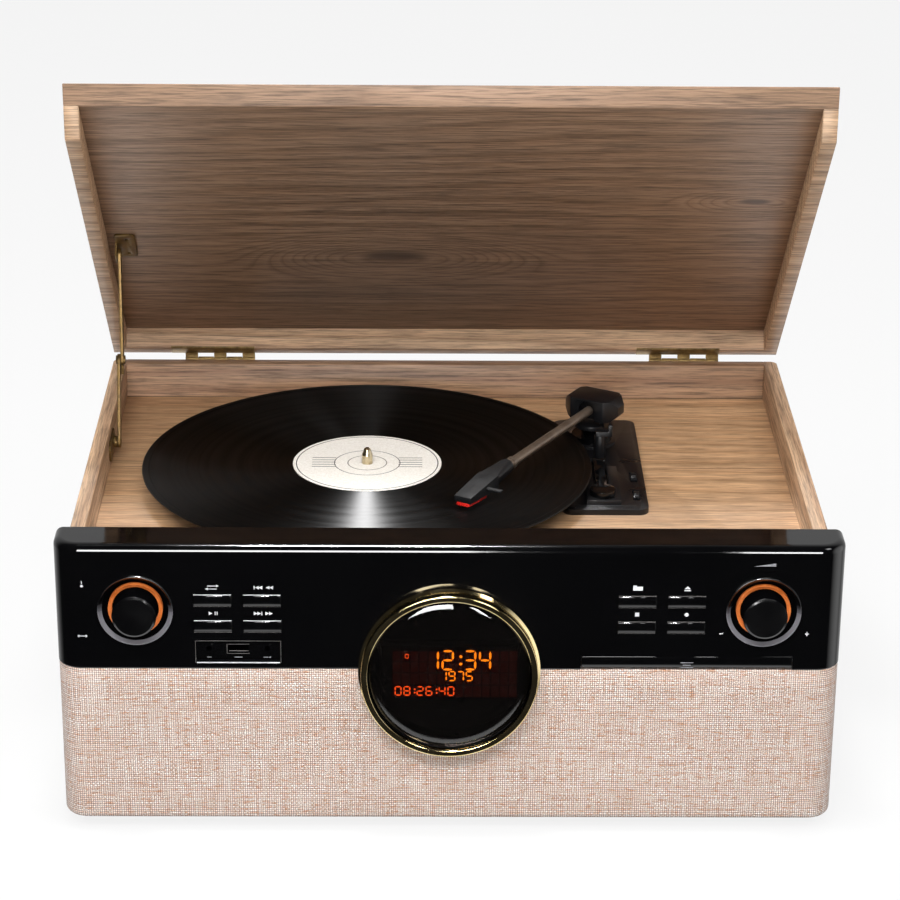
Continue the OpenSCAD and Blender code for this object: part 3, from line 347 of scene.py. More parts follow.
# Painted reflection: grey below a height, its edge made uneven by a fine noise
reflection_edge_noise = noise(tree, spot, 900.0, 2.0)
rise = maths(tree, "MULTIPLY_ADD", reflection_edge_noise, 0.002, rise)
painted_reflection_share = remap(tree, rise, 0.162, 0.15, 0.0, 1.0, interpolation_type="SMOOTHSTEP")
tone = mixed(tree, painted_reflection_share, linear("#070708"), linear("#77757b"))
gloss = remap(tree, painted_reflection_share, 0.0, 1.0, 0.12, 0.38)
wire(shader, Base_Color=tone, Roughness=gloss)
# Satin ABS from a lightly sparked mould
satin_black = grained("satin_black_abs", "#121214", "#0b0b0d", 0.7, 0.33, 0.07, 0.2, 25, Specular_IOR_Level=0.4)
# Coarse-textured ABS, as on the headshell
rough_black = grained("textured_black_abs", "#151517", "#0b0b0d", 0.9, 0.5, 0.08, 0.5, 20, Specular_IOR_Level=0.25)
# Gold plate on a turned ring: warm, a little uneven
gold_plate = grained("gold_plated_ring", "#e6d5a8", "#cbb27a", 1.2, 0.09, 0.03, 0.04, 12, Metallic=1.0)
# Brass, blackened and rubbed bright in patches
old_brass = grained("antiqued_brass", "#7d6439", "#3f301b", 1.6, 0.42, 0.1, 0.35, 6, Metallic=0.75)
hinge_brass = grained("aged_hinge_brass", "#9c8250", "#5a4728", 1.6, 0.45, 0.1, 0.35, 6, Metallic=0.6)
turned_brass = grained("turned_brass", "#d0ab62", "#a78545", 0.8, 0.3, 0.06, 0.15, 8, Metallic=1.0)
champagne = grained("turned_champagne_aluminium", "#d9cbab", "#b3a381", 0.6, 0.28, 0.06, 0.15, 6, Metallic=1.0)
bronze_paint = grained("bronze_painted_tube", "#807163", "#5a4f45", 0.5, 0.34, 0.06, 0.12, 10, Metallic=0.55)
zinc_steel = grained("zinc_plated_steel", "#b4b6b8", "#86888b", 1.0, 0.34, 0.08, 0.2, 9, Metallic=1.0)
black_steel = grained("painted_steel_frame", "#34353a", "#212226", 0.8, 0.5, 0.08, 0.3, 14)
red_styrene = grained("red_polystyrene", "#e02a22", "#b3150f", 2.0, 0.22, 0.05, 0.1, 6, Coat_Weight=0.3)
foot_rubber = grained("moulded_rubber", "#2b2b2e", "#1c1c1e", 0.6, 0.72, 0.06, 0.4, 12)
raw_board = grained("raw_fibreboard", "#a58a67", "#7d6448", 1.4, 0.85, 0.05, 0.5, 10)
green_board = grained("solder_masked_board", "#2f7a45", "#1d5a30", 3.0, 0.36, 0.08, 0.4, 14)
mat_felt = grained("pressed_felt", "#232326", "#141416", 0.7, 0.95, 0.03, 0.9, 12)
light_guide = grained("orange_light_guide", "#f08a4a", "#cf6a2a", 2.5, 0.4, 0.06, 0.1, 10,
                      Emission_Color="#e8762b", Emission_Strength=0.14)
print("grained finishes: 18")

# %% [markdown]
# ## Vinyl, paper, glass and lacquer
# A record is black vinyl whose grooves, a tenth of a millimetre apart, are too fine for a picture: they are
# drawn as rings about a millimetre apart with a broader change from track to track, and a strong anisotropy
# stretches each highlight into the wedge that records show. The label is matt paper with thin printed rings.
# The display's window is a smoked acrylic dome, so the dark tint sits in the clear part and not in a painted
# surface.

# %% Vinyl, label and window
SPINDLE = (-54 * MM, 1 * MM)


def from_spindle(tree):
    """Distance from the spindle's upright axis."""
    place = stretched(tree, own_place(tree), (1, 1, 0), (-SPINDLE[0], -SPINDLE[1], 0))
    return add(tree, "VectorMath", {0: place}, operation="LENGTH").outputs["Value"]


def rings(tree, far, spacing_mm):
    """A wave from ring to ring, from minus one to one."""
    turns = maths(tree, "MULTIPLY", far, 2 * math.pi / (spacing_mm * MM))
    return maths(tree, "SINE", turns)


vinyl, tree, shader = new_finish("pressed_vinyl", {"Base Color": "#020202", "Anisotropic": 1.0,
                                                   "Anisotropic Rotation": 0.25, "Specular IOR Level": 0.3})
far = from_spindle(tree)
groove = rings(tree, far, 0.9)
tracks = add(tree, "TexNoise", {"W": far, "Scale": 160.0, "Detail": 2.0}, noise_dimensions="1D").outputs[0]
gloss = remap(tree, tracks, 0.35, 0.65, 0.4, 0.5)
relief = bumped(tree, 0.02, 0.0001, groove)
round_the_axis = add(tree, "Tangent", direction_type="RADIAL", axis="Z").outputs[0]
wire(shader, Roughness=gloss, Normal=relief, Tangent=round_the_axis)

label_paper, tree, shader = new_finish("printed_label_paper", {"Roughness": 0.7})
far = from_spindle(tree)
paper_grain = noise(tree, own_place(tree), 900.0, 4.0)
tone = add(tree, "ValToRGB", {0: paper_grain}, [(0.3, "#e2dcd2"), (0.7, "#f5f1ea")]).outputs[0]
for radius_mm, width_mm, ink in ((47.5, 0.35, "#3a3836"), (22, 0.3, "#3a3836"), (13, 0.4, "#8c857b")):
    line = maths(tree, "COMPARE", far, radius_mm * MM, width_mm * MM)
    tone = mixed(tree, line, tone, linear(ink))
# Short plain lines stand for the list of tracks on both sides of the hole
spot = add(tree, "SeparateXYZ", {0: own_place(tree)})
aside = maths(tree, "ADD", spot.outputs["X"], -SPINDLE[0])
aside = maths(tree, "ABSOLUTE", aside)
beside = maths(tree, "COMPARE", aside, 29 * MM, 8 * MM)
for row_mm in (-7, -3, 1, 5, 9):
    row = maths(tree, "COMPARE", spot.outputs["Y"], SPINDLE[1] + row_mm * MM, 0.45 * MM)
    row = maths(tree, "MULTIPLY", row, beside)
    tone = mixed(tree, row, tone, linear("#55514c"))
wire(shader, Base_Color=tone)
relief = bumped(tree, 0.2, 0.00005, paper_grain)
wire(shader, Normal=relief)

platter_metal, tree, shader = new_finish("turned_cast_platter", {"Metallic": 0.7})
turning = rings(tree, from_spindle(tree), 0.7)
tone = add(tree, "ValToRGB", {0: turning}, [(0.0, "#232326"), (1.0, "#38383c")]).outputs[0]
gloss = remap(tree, turning, -1.0, 1.0, 0.32, 0.46)
wire(shader, Base_Color=tone, Roughness=gloss)

smoked, tree, shader = new_finish("smoked_acrylic", {"IOR": 1.49, "Transmission Weight": 1.0, "Roughness": 0.02})
haze = noise(tree, own_place(tree), 60.0, 3.0)
tone = add(tree, "ValToRGB", {0: haze}, [(0.3, "#5c5450"), (0.7, "#665d58")]).outputs[0]
wire(shader, Base_Color=tone)
print("vinyl, label, platter and window finished")

# %% [markdown]
# ## Carrying CAD solids over with soft edges
# Real boards and mouldings have no razor edges: a wrapped board has an edge of about half a millimetre, and a
# moulded key about a third. Such an edge catches a thin light line, which a CAD solid doesn't. So the boards,
# keys, brackets and leaves are copied from their CAD nodes, their loose triangles are merged, flat ones are
# joined to whole faces, and a bevel rounds the edges. The copy then stands for its node.

# %% Copies with soft edges
SMOOTH = math.radians(32)
carried_by = {node: body for body, members in frame["record"]["behaviour"]["bodies"].items() for node in members}


def only(piece):
    """Selects this piece alone and makes it active."""
    bpy.ops.object.select_all(action="DESELECT")
    piece.select_set(True)
    bpy.context.view_layer.objects.active = piece


def finish_piece(piece, body, material):
    """Gives a new piece its body and its material."""
    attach(piece, body)
    give(material, piece)
    return piece


def joined(parts, name):
    """Joins pieces to one of that name."""
    only(parts[0])
    for part in parts:
        part.select_set(True)
    if len(parts) > 1:
        bpy.ops.object.join()
    parts[0].name = parts[0].data.name = name
    return parts[0]


def thicken_print(depth_mm):
    """Gives the active flat piece a small depth along Y."""
    bpy.ops.object.mode_set(mode="EDIT")
    bpy.ops.mesh.select_all(action="SELECT")
    bpy.ops.mesh.extrude_region_move(TRANSFORM_OT_translate={"value": (0, depth_mm * MM, 0)})
    bpy.ops.mesh.select_all(action="SELECT")
    bpy.ops.mesh.normals_make_consistent(inside=False)
    bpy.ops.object.mode_set(mode="OBJECT")


def line_of_points(name, points):
    """A new piece that is a line through these points, left in edit mode and selected all over."""
    bpy.ops.object.select_all(action="DESELECT")
    bpy.ops.mesh.primitive_plane_add(size=0.001, location=(0, 0, 0))
    piece = bpy.context.object
    piece.name = piece.data.name = name
    bpy.ops.object.mode_set(mode="EDIT")
    bpy.ops.mesh.select_all(action="SELECT")
    bpy.ops.mesh.merge(type="CENTER")
    bpy.ops.transform.translate(value=points[0])
    for a, b in zip(points, points[1:]):
        bpy.ops.mesh.extrude_vertices_move(TRANSFORM_OT_translate={"value": b - a})
    bpy.ops.mesh.select_all(action="SELECT")
    return piece


def clean_up(piece):
    """Merges doubles, turns the faces outward, leaves edit mode and puts the piece's origin at zero."""
    bpy.ops.mesh.select_all(action="SELECT")
    bpy.ops.mesh.remove_doubles(threshold=1e-6)
    bpy.ops.mesh.normals_make_consistent(inside=False)
    bpy.ops.object.mode_set(mode="OBJECT")
    only(piece)
    bpy.ops.object.transform_apply(location=True, rotation=True, scale=True)


def soften(node, width_mm, material, steps=2):
    """A copy of a CAD node with rounded edges stands for it."""
    piece = bpy.data.objects.new(node + "_soft", nodes[node].data.copy())
    bpy.context.scene.collection.objects.link(piece)
    only(piece)
    bpy.ops.object.mode_set(mode="EDIT")
    bpy.ops.mesh.select_all(action="SELECT")
    bpy.ops.mesh.remove_doubles(threshold=2e-6)
    bpy.ops.mesh.dissolve_limited(angle_limit=math.radians(0.05))
    bpy.ops.object.mode_set(mode="OBJECT")
    bevel = piece.modifiers.new("edges", "BEVEL")
    bevel.width, bevel.segments, bevel.angle_limit = width_mm * MM, steps, math.radians(35)
    bpy.ops.object.modifier_apply(modifier=bevel.name)
    bpy.ops.object.shade_smooth_by_angle(angle=SMOOTH)
    give(material, piece)
    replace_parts(piece, node)
    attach(piece, carried_by[node])
    return piece


for node, material in (("side_panels", oak_sides), ("deck_panel", oak_deck), ("front_board", oak_deck),
                       ("lid_top", oak_lid_painted_shade), ("lid_rails", oak_rim), ("back_panel", oak_back_painted_shade)):
    soften(node, 0.5, material)
for word in "repeat scan back forward folder menu eject record".split():
    soften("key_" + word, 0.35, piano_black)
for width, material, names in ((0.25, old_brass, "stay_base_bracket stay_lid_bracket"),
                               (0.3, old_brass, "stay_lower_arm stay_upper_arm"),
                               (0.2, hinge_brass, "hinge_box_leaves hinge_lid_leaves"),
                               (0.5, satin_black, "counterweight tonearm_base"), (0.6, piano_black, "cue_lever"),
                               (0.5, rough_black, "headshell"), (0.3, red_styrene, "stylus"),
                               (0.4, satin_black, "arm_yoke"), (0.3, satin_black, "speed_switch auto_stop_switch"),
                               (0.35, piano_black, "disc_tray"), (0.5, satin_black, "cassette_deck"),
                               (0.5, piano_black, "cassette_flap")):
    for node in names.split():
        soften(node, width, material)

# %% [markdown]
# ## The remaining CAD nodes
# The fascia's rounded moulding, the round parts and the inside already have the right shape in CAD, with
# closely spaced facets, so they only get their finish.

# %% Finishes for the CAD nodes that stay
for material, names in ((piano_black, "front_fascia port_panel arm_post"),
                        (knob_black, "source_knob volume_knob"),
                        (satin_black, "display_drum display_module rear_connectors"),
                        (light_guide, "light_rings"), (black_steel, "speakers"), (green_board, "electronics"),
                        (zinc_steel, "disc_drive cabinet_screws turntable_drive"),
                        (raw_board, "bottom_panel baffle_panel"), (foot_rubber, "rubber_feet drive_belt"),
                        (turned_brass, "motor_pulley"), (champagne, "spindle"), (platter_metal, "platter"),
                        (mat_felt, "slipmat"), (vinyl, "vinyl_record"), (label_paper, "record_label"),
                        (bronze_paint, "arm_tube")):
    give(material, *names.split())
print("CAD nodes with a finish of their own:", sum(1 for o in nodes.values() if not o.hide_render))

# %% [markdown]
# ## Window, ring and knob surrounds
# The window is a shallow dome of clear smoked acrylic: nearly flat in the middle and rounded towards its rim,
# closed by a flat back and spun about the axis. The gold ring round it has rounded edges, and each knob stands in
# a cup with a rounded lip. All of them are turned shapes, so one function spins an outline. They take the
# places of the CAD's plainer rings and stay behind their fronts, so that the outer size is the same.

# %% Turned pieces
DISPLAY_Z, FRONT = 114 * MM, -183
FASCIA_Y = FRONT * MM
RIM_Z = 188
KNOB_X, KNOB_Z = 195.5, RIM_Z - 33


def lathe(name, outline, middle, steps=96):
    """Spins an outline of (radius, depth) points in millimetres about an axis along Y through middle."""
    piece = line_of_points(name, [Vector(middle) + Vector((r * MM, d * MM, 0)) for r, d in outline])
    bpy.ops.mesh.spin(steps=steps, angle=2 * math.pi, center=middle, axis=(0, 1, 0))
    clean_up(piece)
    bpy.ops.object.shade_smooth_by_angle(angle=SMOOTH)
    return piece


DOME_R, SHOULDER_R, SHOULDER_DROP, DOME_FRONT = 51.2, 42.0, 3.4, -8.6
dome = [(SHOULDER_R * t / 6, DOME_FRONT + 0.9 * (t / 6) ** 2) for t in range(7)]
dome += [(SHOULDER_R + (DOME_R - SHOULDER_R) * math.sin(math.radians(a)),
          DOME_FRONT + 0.9 + SHOULDER_DROP * (1 - math.cos(math.radians(a)))) for a in range(8, 89, 8)]
dome += [(DOME_R, -3.2), (0.0, -3.2)]
window = lathe("display_window", dome, (0, FASCIA_Y, DISPLAY_Z))
finish_piece(window, "cabinet", smoked)
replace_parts(window, "display_lens")


def arc(centre, radius, start, end, steps=6):
    """Points on an arc in an outline, from one angle in degrees to another."""
    angles = [math.radians(start + (end - start) * i / steps) for i in range(steps + 1)]
    return [(centre[0] + radius * math.cos(a), centre[1] + radius * math.sin(a)) for a in angles]


ring_outline = ([(54.3, -0.3), (57.1, -0.3), (57.1, -1.6), (55.5, -3.0)] + arc((54.8, -9.3), 0.7, 0, -90)
                + arc((52.0, -9.5), 0.5, -90, -180) + [(51.4, -8.6), (51.2, -6.0), (54.3, -6.0), (54.3, -0.3)])
ring = lathe("display_ring", ring_outline, (0, FASCIA_Y, DISPLAY_Z), steps=128)
finish_piece(ring, "cabinet", gold_plate)
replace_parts(ring, "display_bezel")

cup_outline = [(20.6, 1.0), (19.9, 2.1), (18.8, 3.1), (17.5, 4.0), (17.5, 6.0), (5.0, 6.0), (5.0, 8.0), (18.5, 8.0),
               (22.3, 5.0), (22.3, 1.0), (20.6, 1.0)]
lip_outline = arc((22.9, -0.3), 0.6, 40, -120) + [(22.2, -0.3), (21.5, 0.3), (20.7, 0.9), (22.2, 0.9), (23.4, 0.1)]


def turned_pair(name, outline, material):
    """The same turned piece at both knobs, joined to one."""
    pair = [lathe(name + "_%d" % side, outline, (side * KNOB_X * MM, FASCIA_Y, KNOB_Z * MM)) for side in (-1, 1)]
    return finish_piece(joined(pair, name), "cabinet", material)


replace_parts(turned_pair("knob_cups", cup_outline, knob_black), "knob_dishes")
turned_pair("knob_lips", lip_outline, lip_painted_reflection)
print("turned pieces: window, ring, cups and lips")

# %% [markdown]
# ## Lit numerals
# The display is a vacuum tube with amber segments. A numeral has up to seven six-sided bars. One bar is a
# six-sided disc scaled long and thin, and every numeral turns on some of the bars, so the digits are plain
# seven-segment ones. A dim red grid of cells lies behind them, as on the real tube.

# %% Seven-segment digits
BARS = {"0": "abcdef", "1": "bc", "2": "abged", "3": "abgcd", "4": "fgbc", "5": "afgcd", "6": "afgedc", "7": "abc",
        "8": "abcdefg", "9": "abcdfg"}
GLASS_Y = FASCIA_Y - 1.4 * MM


def bar(x, z, length, thick, upright):
    """One six-sided bar of light, standing on the display's glass."""
    bpy.ops.mesh.primitive_circle_add(vertices=6, radius=0.5, fill_type="NGON", location=(x, GLASS_Y, z),
                                      rotation=(math.pi / 2, 0, 0))
    piece = bpy.context.object
    piece.scale = (thick, length, 1) if upright else (length, thick, 1)
    return piece


def numerals(name, text, left, bottom, width, height, thick, pitch, material):
    """A row of digits in millimetres. A colon is two dots."""
    parts = []
    x = left
    for sign in text:
        if sign == ":":
            dot = thick * 1.3 * MM
            parts += [bar((x + pitch * 0.22) * MM, (bottom + height * k) * MM, dot, dot, True) for k in (0.3, 0.7)]
            x += pitch * 0.5
            continue
        half = height / 2
        where = {"a": (x + width / 2, bottom + height, False), "g": (x + width / 2, bottom + half, False),
                 "d": (x + width / 2, bottom, False), "f": (x, bottom + 1.5 * half, True),
                 "b": (x + width, bottom + 1.5 * half, True), "e": (x, bottom + half / 2, True),
                 "c": (x + width, bottom + half / 2, True)}
        for letter in BARS[sign]:
            bx, bz, upright = where[letter]
            length = (half if upright else width) - thick * 0.25
            parts.append(bar(bx * MM, bz * MM, length * MM, thick * MM, upright))
        x += pitch
    row = joined(parts, name)
    bpy.ops.object.transform_apply(location=True, rotation=True, scale=True)
    thicken_print(-0.15)
    finish_piece(row, "cabinet", material)


def phosphor(name, colour, strength):
    """A lit phosphor with a faint unevenness."""
    material, tree, shader = new_finish(name, {"Base Color": colour, "Roughness": 0.5, "Emission Color": colour})
    speck = noise(tree, own_place(tree), 1500.0)
    level = remap(tree, speck, 0.3, 0.7, strength * 0.8, strength * 1.15)
    wire(shader, Emission_Strength=level)
    return material


amber = phosphor("amber_phosphor", "#ff8c14", 11.0)
orange = phosphor("orange_phosphor", "#ff5a1c", 9.0)
dull_red = phosphor("unlit_red_cells", "#4a0f05", 0.9)
numerals("numerals_large", "12:34", -13.6, 116.6, 6.4, 12.6, 1.6, 9.3, amber)
numerals("numerals_middle", "1975", -5.6, 108.9, 3.6, 6.2, 1.0, 5.4, amber)
numerals("numerals_small", "08:26:40", -33.8, 98.7, 3.6, 5.8, 0.95, 5.5, orange)
numerals("numerals_mark", "0", -27.6, 124.3, 2.0, 2.6, 0.5, 3, orange)
print("rows of digits: 4")

# %% Cells behind the digits
def cells(name, columns, rows, left, bottom, width, height, gap):
    """A grid of flat cells: one plane, copied along both ways, inset and raised."""
    bpy.ops.object.select_all(action="DESELECT")
    middle = ((left + width / 2) * MM, GLASS_Y + 0.3 * MM, (bottom + height / 2) * MM)
    bpy.ops.mesh.primitive_plane_add(size=1, rotation=(math.pi / 2, 0, 0), location=middle)
    grid = bpy.context.object
    grid.name = grid.data.name = name
    grid.scale = (width * MM, height * MM, 1)
    bpy.ops.object.transform_apply(location=True, rotation=True, scale=True)
    for count, step in ((columns, (width + gap, 0)), (rows, (0, height + gap))):
        repeat = grid.modifiers.new("repeat", "ARRAY")
        repeat.count, repeat.use_relative_offset, repeat.use_constant_offset = count, False, True
        repeat.constant_offset_displace = (step[0] * MM, 0, step[1] * MM)
        bpy.ops.object.modifier_apply(modifier=repeat.name)
    bpy.ops.object.mode_set(mode="EDIT")
    bpy.ops.mesh.select_all(action="SELECT")
    bpy.ops.mesh.inset(thickness=0.25 * MM, use_individual=True)
    bpy.ops.transform.translate(value=(0, -0.1 * MM, 0))
    bpy.ops.object.mode_set(mode="OBJECT")
    finish_piece(grid, "cabinet", dull_red)


for where, rows, bottom, height in (("lower", 1, 97.2, 7.8), ("middle", 1, 106.0, 7.6), ("upper", 2, 114.4, 6.9)):
    cells("cells_" + where, 14, rows, -35.5, bottom, 4.9, height, 0.7)
print("rows of cells: 4")

# %% [markdown]
# ## Speaker cloth
# The grille is a woven cloth, stretched round a board and turned in at its edges. It is one sheet, so it is
# modelled as one: its section is drawn as a line of points, from the turned-in top edge over the face to the
# turned-in lower edge, and the line is pulled along the board's plan: straight, a quarter turn, the long
# front, another quarter turn and straight again. It gets the cloth's thickness, and a round hole is cut where the
# display passes through. The weave follows the sheet, so a UV map holds the distance along it and up it.

# %% Cloth sheet
PLAN_X, CORNER, BOX_Y = 245.7, 15.7, -154.0
CORNER_Y = FRONT + 0.3 + CORNER
CLOTH_LOW, CLOTH_HIGH, CLOTH_T = 8.5, 114.98, 1.2
HOLE_R = 54.5
STRIPS = 24


def cloth_section():
    """Points of the sheet's section: how far in from the face, and height, in millimetres."""
    high = [(8.0, CLOTH_HIGH), (2.0, CLOTH_HIGH), (0.6, CLOTH_HIGH - 0.3), (0.0, CLOTH_HIGH - 1.4)]
    low = [(4 - 4 * math.cos(a), CLOTH_LOW + 4 - 4 * math.sin(a)) for a in (i / 5 * math.pi / 2 for i in range(6))]
    face = [(0.0, CLOTH_HIGH - 1.4 - (CLOTH_HIGH - 1.4 - low[0][1]) * i / 8) for i in range(1, 8)]
    return high + face + low + [(8.0, CLOTH_LOW)]


section = [Vector((-PLAN_X + inward, BOX_Y, z)) * MM for inward, z in cloth_section()]


def pull(x, y):
    """Pulls the line on by this much, in millimetres."""
    bpy.ops.mesh.extrude_region_move(TRANSFORM_OT_translate={"value": (x * MM, y * MM, 0)})


def quarter_turn(x):
    """Pulls the line round the corner whose middle is at x."""
    bpy.ops.mesh.spin(steps=8, angle=-math.pi / 2, center=(x * MM, CORNER_Y * MM, 0), axis=(0, 0, 1))


cloth = line_of_points("speaker_cloth", section)
pull(0, CORNER_Y - BOX_Y)
quarter_turn(-PLAN_X + CORNER)
for step in range(STRIPS):
    pull((2 * PLAN_X - 2 * CORNER) / STRIPS, 0)
quarter_turn(PLAN_X - CORNER)
pull(0, BOX_Y - CORNER_Y)
clean_up(cloth)
corners = [v.co.copy() for v in cloth.data.vertices]
print("cloth from", [round(min(c[i] for c in corners), 4) for i in range(3)],
      "to", [round(max(c[i] for c in corners), 4) for i in range(3)])

# %% Thickness, display hole and map
facing = next(p for p in cloth.data.polygons if abs(p.center.x) < 0.05 and abs(p.center.z - 0.06) < 0.02)
wall = cloth.modifiers.new("thickness", "SOLIDIFY")
wall.thickness, wall.offset = CLOTH_T * MM, -1 if facing.normal.y < 0 else 1
bpy.ops.object.modifier_apply(modifier=wall.name)
bpy.ops.object.select_all(action="DESELECT")
bpy.ops.mesh.primitive_cylinder_add(vertices=128, radius=HOLE_R * MM, depth=0.1, location=(0, -0.17, DISPLAY_Z),
                                    rotation=(math.pi / 2, 0, 0))
cutter = bpy.context.object
only(cloth)
hole = cloth.modifiers.new("hole", "BOOLEAN")
hole.object, hole.operation, hole.solver = cutter, "DIFFERENCE", "EXACT"
bpy.ops.object.modifier_apply(modifier=hole.name)
bpy.data.objects.remove(cutter)
bpy.ops.object.shade_smooth_by_angle(angle=math.radians(40))


def along(point):
    """Distance along the sheet from the middle of its front, in millimetres."""
    x, y = abs(point.x) / MM, point.y / MM
    straight = PLAN_X - CORNER
    if x <= straight:
        distance = x
    elif y <= CORNER_Y:
        distance = straight + CORNER * math.atan2(x - straight, CORNER_Y - y)
    else:
        distance = straight + CORNER * math.pi / 2 + (y - CORNER_Y)
    return math.copysign(distance, point.x)


sheet_map = cloth.data.uv_layers.new(name="sheet")
for loop in cloth.data.loops:
    point = cloth.data.vertices[loop.vertex_index].co
    sheet_map.data[loop.index].uv = (along(point) / 10, point.z / MM / 10)

# %% [markdown]
# The weave is plain: every thread passes over one and under the next. There are about seven threads to a
# centimetre, of several yarns, off-white, beige, pink and tan, and each thread keeps its yarn for some way along. A
# checker in the sheet's map, with a cell for each crossing, says which thread is on top. Noise that is very long
# along a thread gives it its own colour.

# %% Woven cloth
woven, tree, shader = new_finish("plain_woven_speaker_cloth", {"Roughness": 0.92, "Sheen Weight": 0.25,
                                                               "Specular IOR Level": 0.2})
sheet = add(tree, "UVMap", uv_map="sheet").outputs[0]
THREADS = 7.2
wander = add(tree, "TexNoise", {"Vector": sheet, "Scale": 2.2, "Detail": 2.0}).outputs["Color"]
bent = add(tree, "VectorMath", {0: wander, 1: (0.06, 0.06, 0), 2: sheet}, operation="MULTIPLY_ADD").outputs[0]
count = stretched(tree, bent, (THREADS, THREADS, 1))
cell = add(tree, "SeparateXYZ", {0: add(tree, "VectorMath", {0: count}, operation="FLOOR").outputs[0]})
inner = add(tree, "SeparateXYZ", {0: add(tree, "VectorMath", {0: count}, operation="FRACTION").outputs[0]})
parity = maths(tree, "ADD", cell.outputs[0], cell.outputs[1])
half = maths(tree, "MULTIPLY", parity, 0.5)
half = maths(tree, "FRACT", half)
over = maths(tree, "MULTIPLY", half, 2.0)


def humped(socket):
    """One arch for every thread: zero at its edges and one on its back."""
    turn = maths(tree, "MULTIPLY", socket, math.pi)
    return maths(tree, "SINE", turn)


def on_top(across, lengthways):
    """The thread on top is round across and dips at both ends."""
    dip = maths(tree, "POWER", lengthways, 0.55)
    return maths(tree, "MULTIPLY", across, dip)


warp_back, weft_back = humped(inner.outputs[0]), humped(inner.outputs[1])
height = add(tree, "Mix", {"Factor": over, 2: on_top(warp_back, weft_back), 3: on_top(weft_back, warp_back)},
             data_type="FLOAT").outputs[0]
# A yarn colour for each thread: noise that changes from thread to thread and slowly along it
warp_place = stretched(tree, bent, (THREADS * 1.7, 0.35, 1))
weft_place = stretched(tree, bent, (0.3, THREADS * 1.7, 1), (7.3, 3.1, 0))
warp_yarns = [(0.25, "#b58d77"), (0.42, "#d3b5a4"), (0.56, "#e2d1c8"), (0.75, "#f1ecea")]
weft_yarns = [(0.28, "#bb937c"), (0.44, "#dbc1b2"), (0.58, "#e9dcd4"), (0.76, "#f5f1ef")]
warp_yarn = add(tree, "ValToRGB", {0: noise(tree, warp_place, 1.0)}, warp_yarns).outputs[0]
weft_yarn = add(tree, "ValToRGB", {0: noise(tree, weft_place, 1.0)}, weft_yarns).outputs[0]
yarn = mixed(tree, over, warp_yarn, weft_yarn)
# Flecks of a tan yarn, a few millimetres long
fleck_place = stretched(tree, bent, (1.6, THREADS, 1))
flecks = noise(tree, fleck_place, 1.0, 1.0)
fleck = remap(tree, flecks, 0.57, 0.68, 0.0, 0.62)
yarn = mixed(tree, fleck, yarn, linear("#c8885a"))
shadow = remap(tree, height, 0.12, 0.8, 0.33, 1.2)
shaded = add(tree, "VectorMath", {0: yarn, "Scale": shadow}, operation="SCALE").outputs[0]
wire(shader, Base_Color=shaded)
relief = bumped(tree, 0.7, 0.0003, height)
wire(shader, Normal=relief)
finish_piece(cloth, "cabinet", woven)
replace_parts(cloth, "grille_cloth")
print("cloth triangles:", sum(len(p.vertices) - 2 for p in cloth.data.polygons))

# %% [markdown]
# ## Printed marks
# The fascia's marks are thin white prints beside the keys and knobs. They are plain signs: triangles, squares
# and bars for the keys, a minus, a plus and a wedge at the volume knob, dots with bars at the other one, and three
# bars over the tray. Each is drawn flat, then given a print's thickness.

# %% Marks
print_white = grained("silkscreen_white", "#e9e9ec", "#cfcfd4", 0.5, 0.6, 0.05, 0.2, 5)
print_grey = grained("silkscreen_grey", "#9a9aa0", "#77777d", 0.5, 0.6, 0.05, 0.2, 5)


def mark(name, shapes, material=print_white, lift=0.05):
    """A print or a strip of painted highlight on the fascia, or lift millimetres before it. Each shape is a list of
    (x, z) corners in millimetres.
    """
    parts = []
    for corners in shapes:
        bpy.ops.mesh.primitive_circle_add(vertices=len(corners), radius=MM, fill_type="NGON",
                                          rotation=(math.pi / 2, 0, 0))
        part = bpy.context.object
        bpy.ops.object.transform_apply(location=True, rotation=True, scale=True)
        for vertex, corner in zip(part.data.vertices, corners):
            vertex.co = Vector((corner[0] * MM, FASCIA_Y - lift * MM, corner[1] * MM))
        parts.append(part)
    piece = joined(parts, name)
    thicken_print(0.04)
    finish_piece(piece, "cabinet", material)


def oblong(x, z, width, height):
    return [(x + i * width / 2, z + k * height / 2) for i, k in ((-1, -1), (1, -1), (1, 1), (-1, 1))]


def arrow(x, z, size, way=1):
    return [(x - way * size / 2, z - size / 2), (x + way * size / 2, z), (x - way * size / 2, z + size / 2)]


def disc(x, z, radius, count=20):
    return [(x + radius * math.cos(i / count * 2 * math.pi), z + radius * math.sin(i / count * 2 * math.pi))
            for i in range(count)]


KEYS_X, KEY_Z, PITCH_X, PITCH_Z, SIGN = 132, RIM_Z - 35, 30.8, 17.6, 2.4
columns = {(s, c): s * KEYS_X + (c - 0.5) * PITCH_X for s in (-1, 1) for c in (0, 1)}
high, low = (KEY_Z - (r - 0.5) * PITCH_Z + 9.0 for r in (0, 1))
x = columns[-1, 1]
mark("mark_back", [arrow(x - 3, high, SIGN, -1), arrow(x - 0.8, high, SIGN, -1), oblong(x - 4.7, high, 0.6, SIGN),
                   arrow(x + 3.6, high, SIGN, -1), arrow(x + 5.8, high, SIGN, -1)])
mark("mark_forward", [arrow(x - 4, low, SIGN), arrow(x - 1.8, low, SIGN), oblong(x - 0.2, low, 0.6, SIGN),
                      arrow(x + 3.2, low, SIGN), arrow(x + 5.4, low, SIGN)])
x = columns[-1, 0]
mark("mark_play", [arrow(x - 1.2, low, SIGN), oblong(x + 1.6, low, 0.6, SIGN), oblong(x + 2.8, low, 0.6, SIGN)])
mark("mark_repeat", [oblong(x, high + 1, 6, 0.45), oblong(x, high - 1, 6, 0.45), arrow(x + 3.4, high + 1, 1.8),
                     arrow(x - 3.4, high - 1, 1.8, -1)])
x = columns[1, 0]
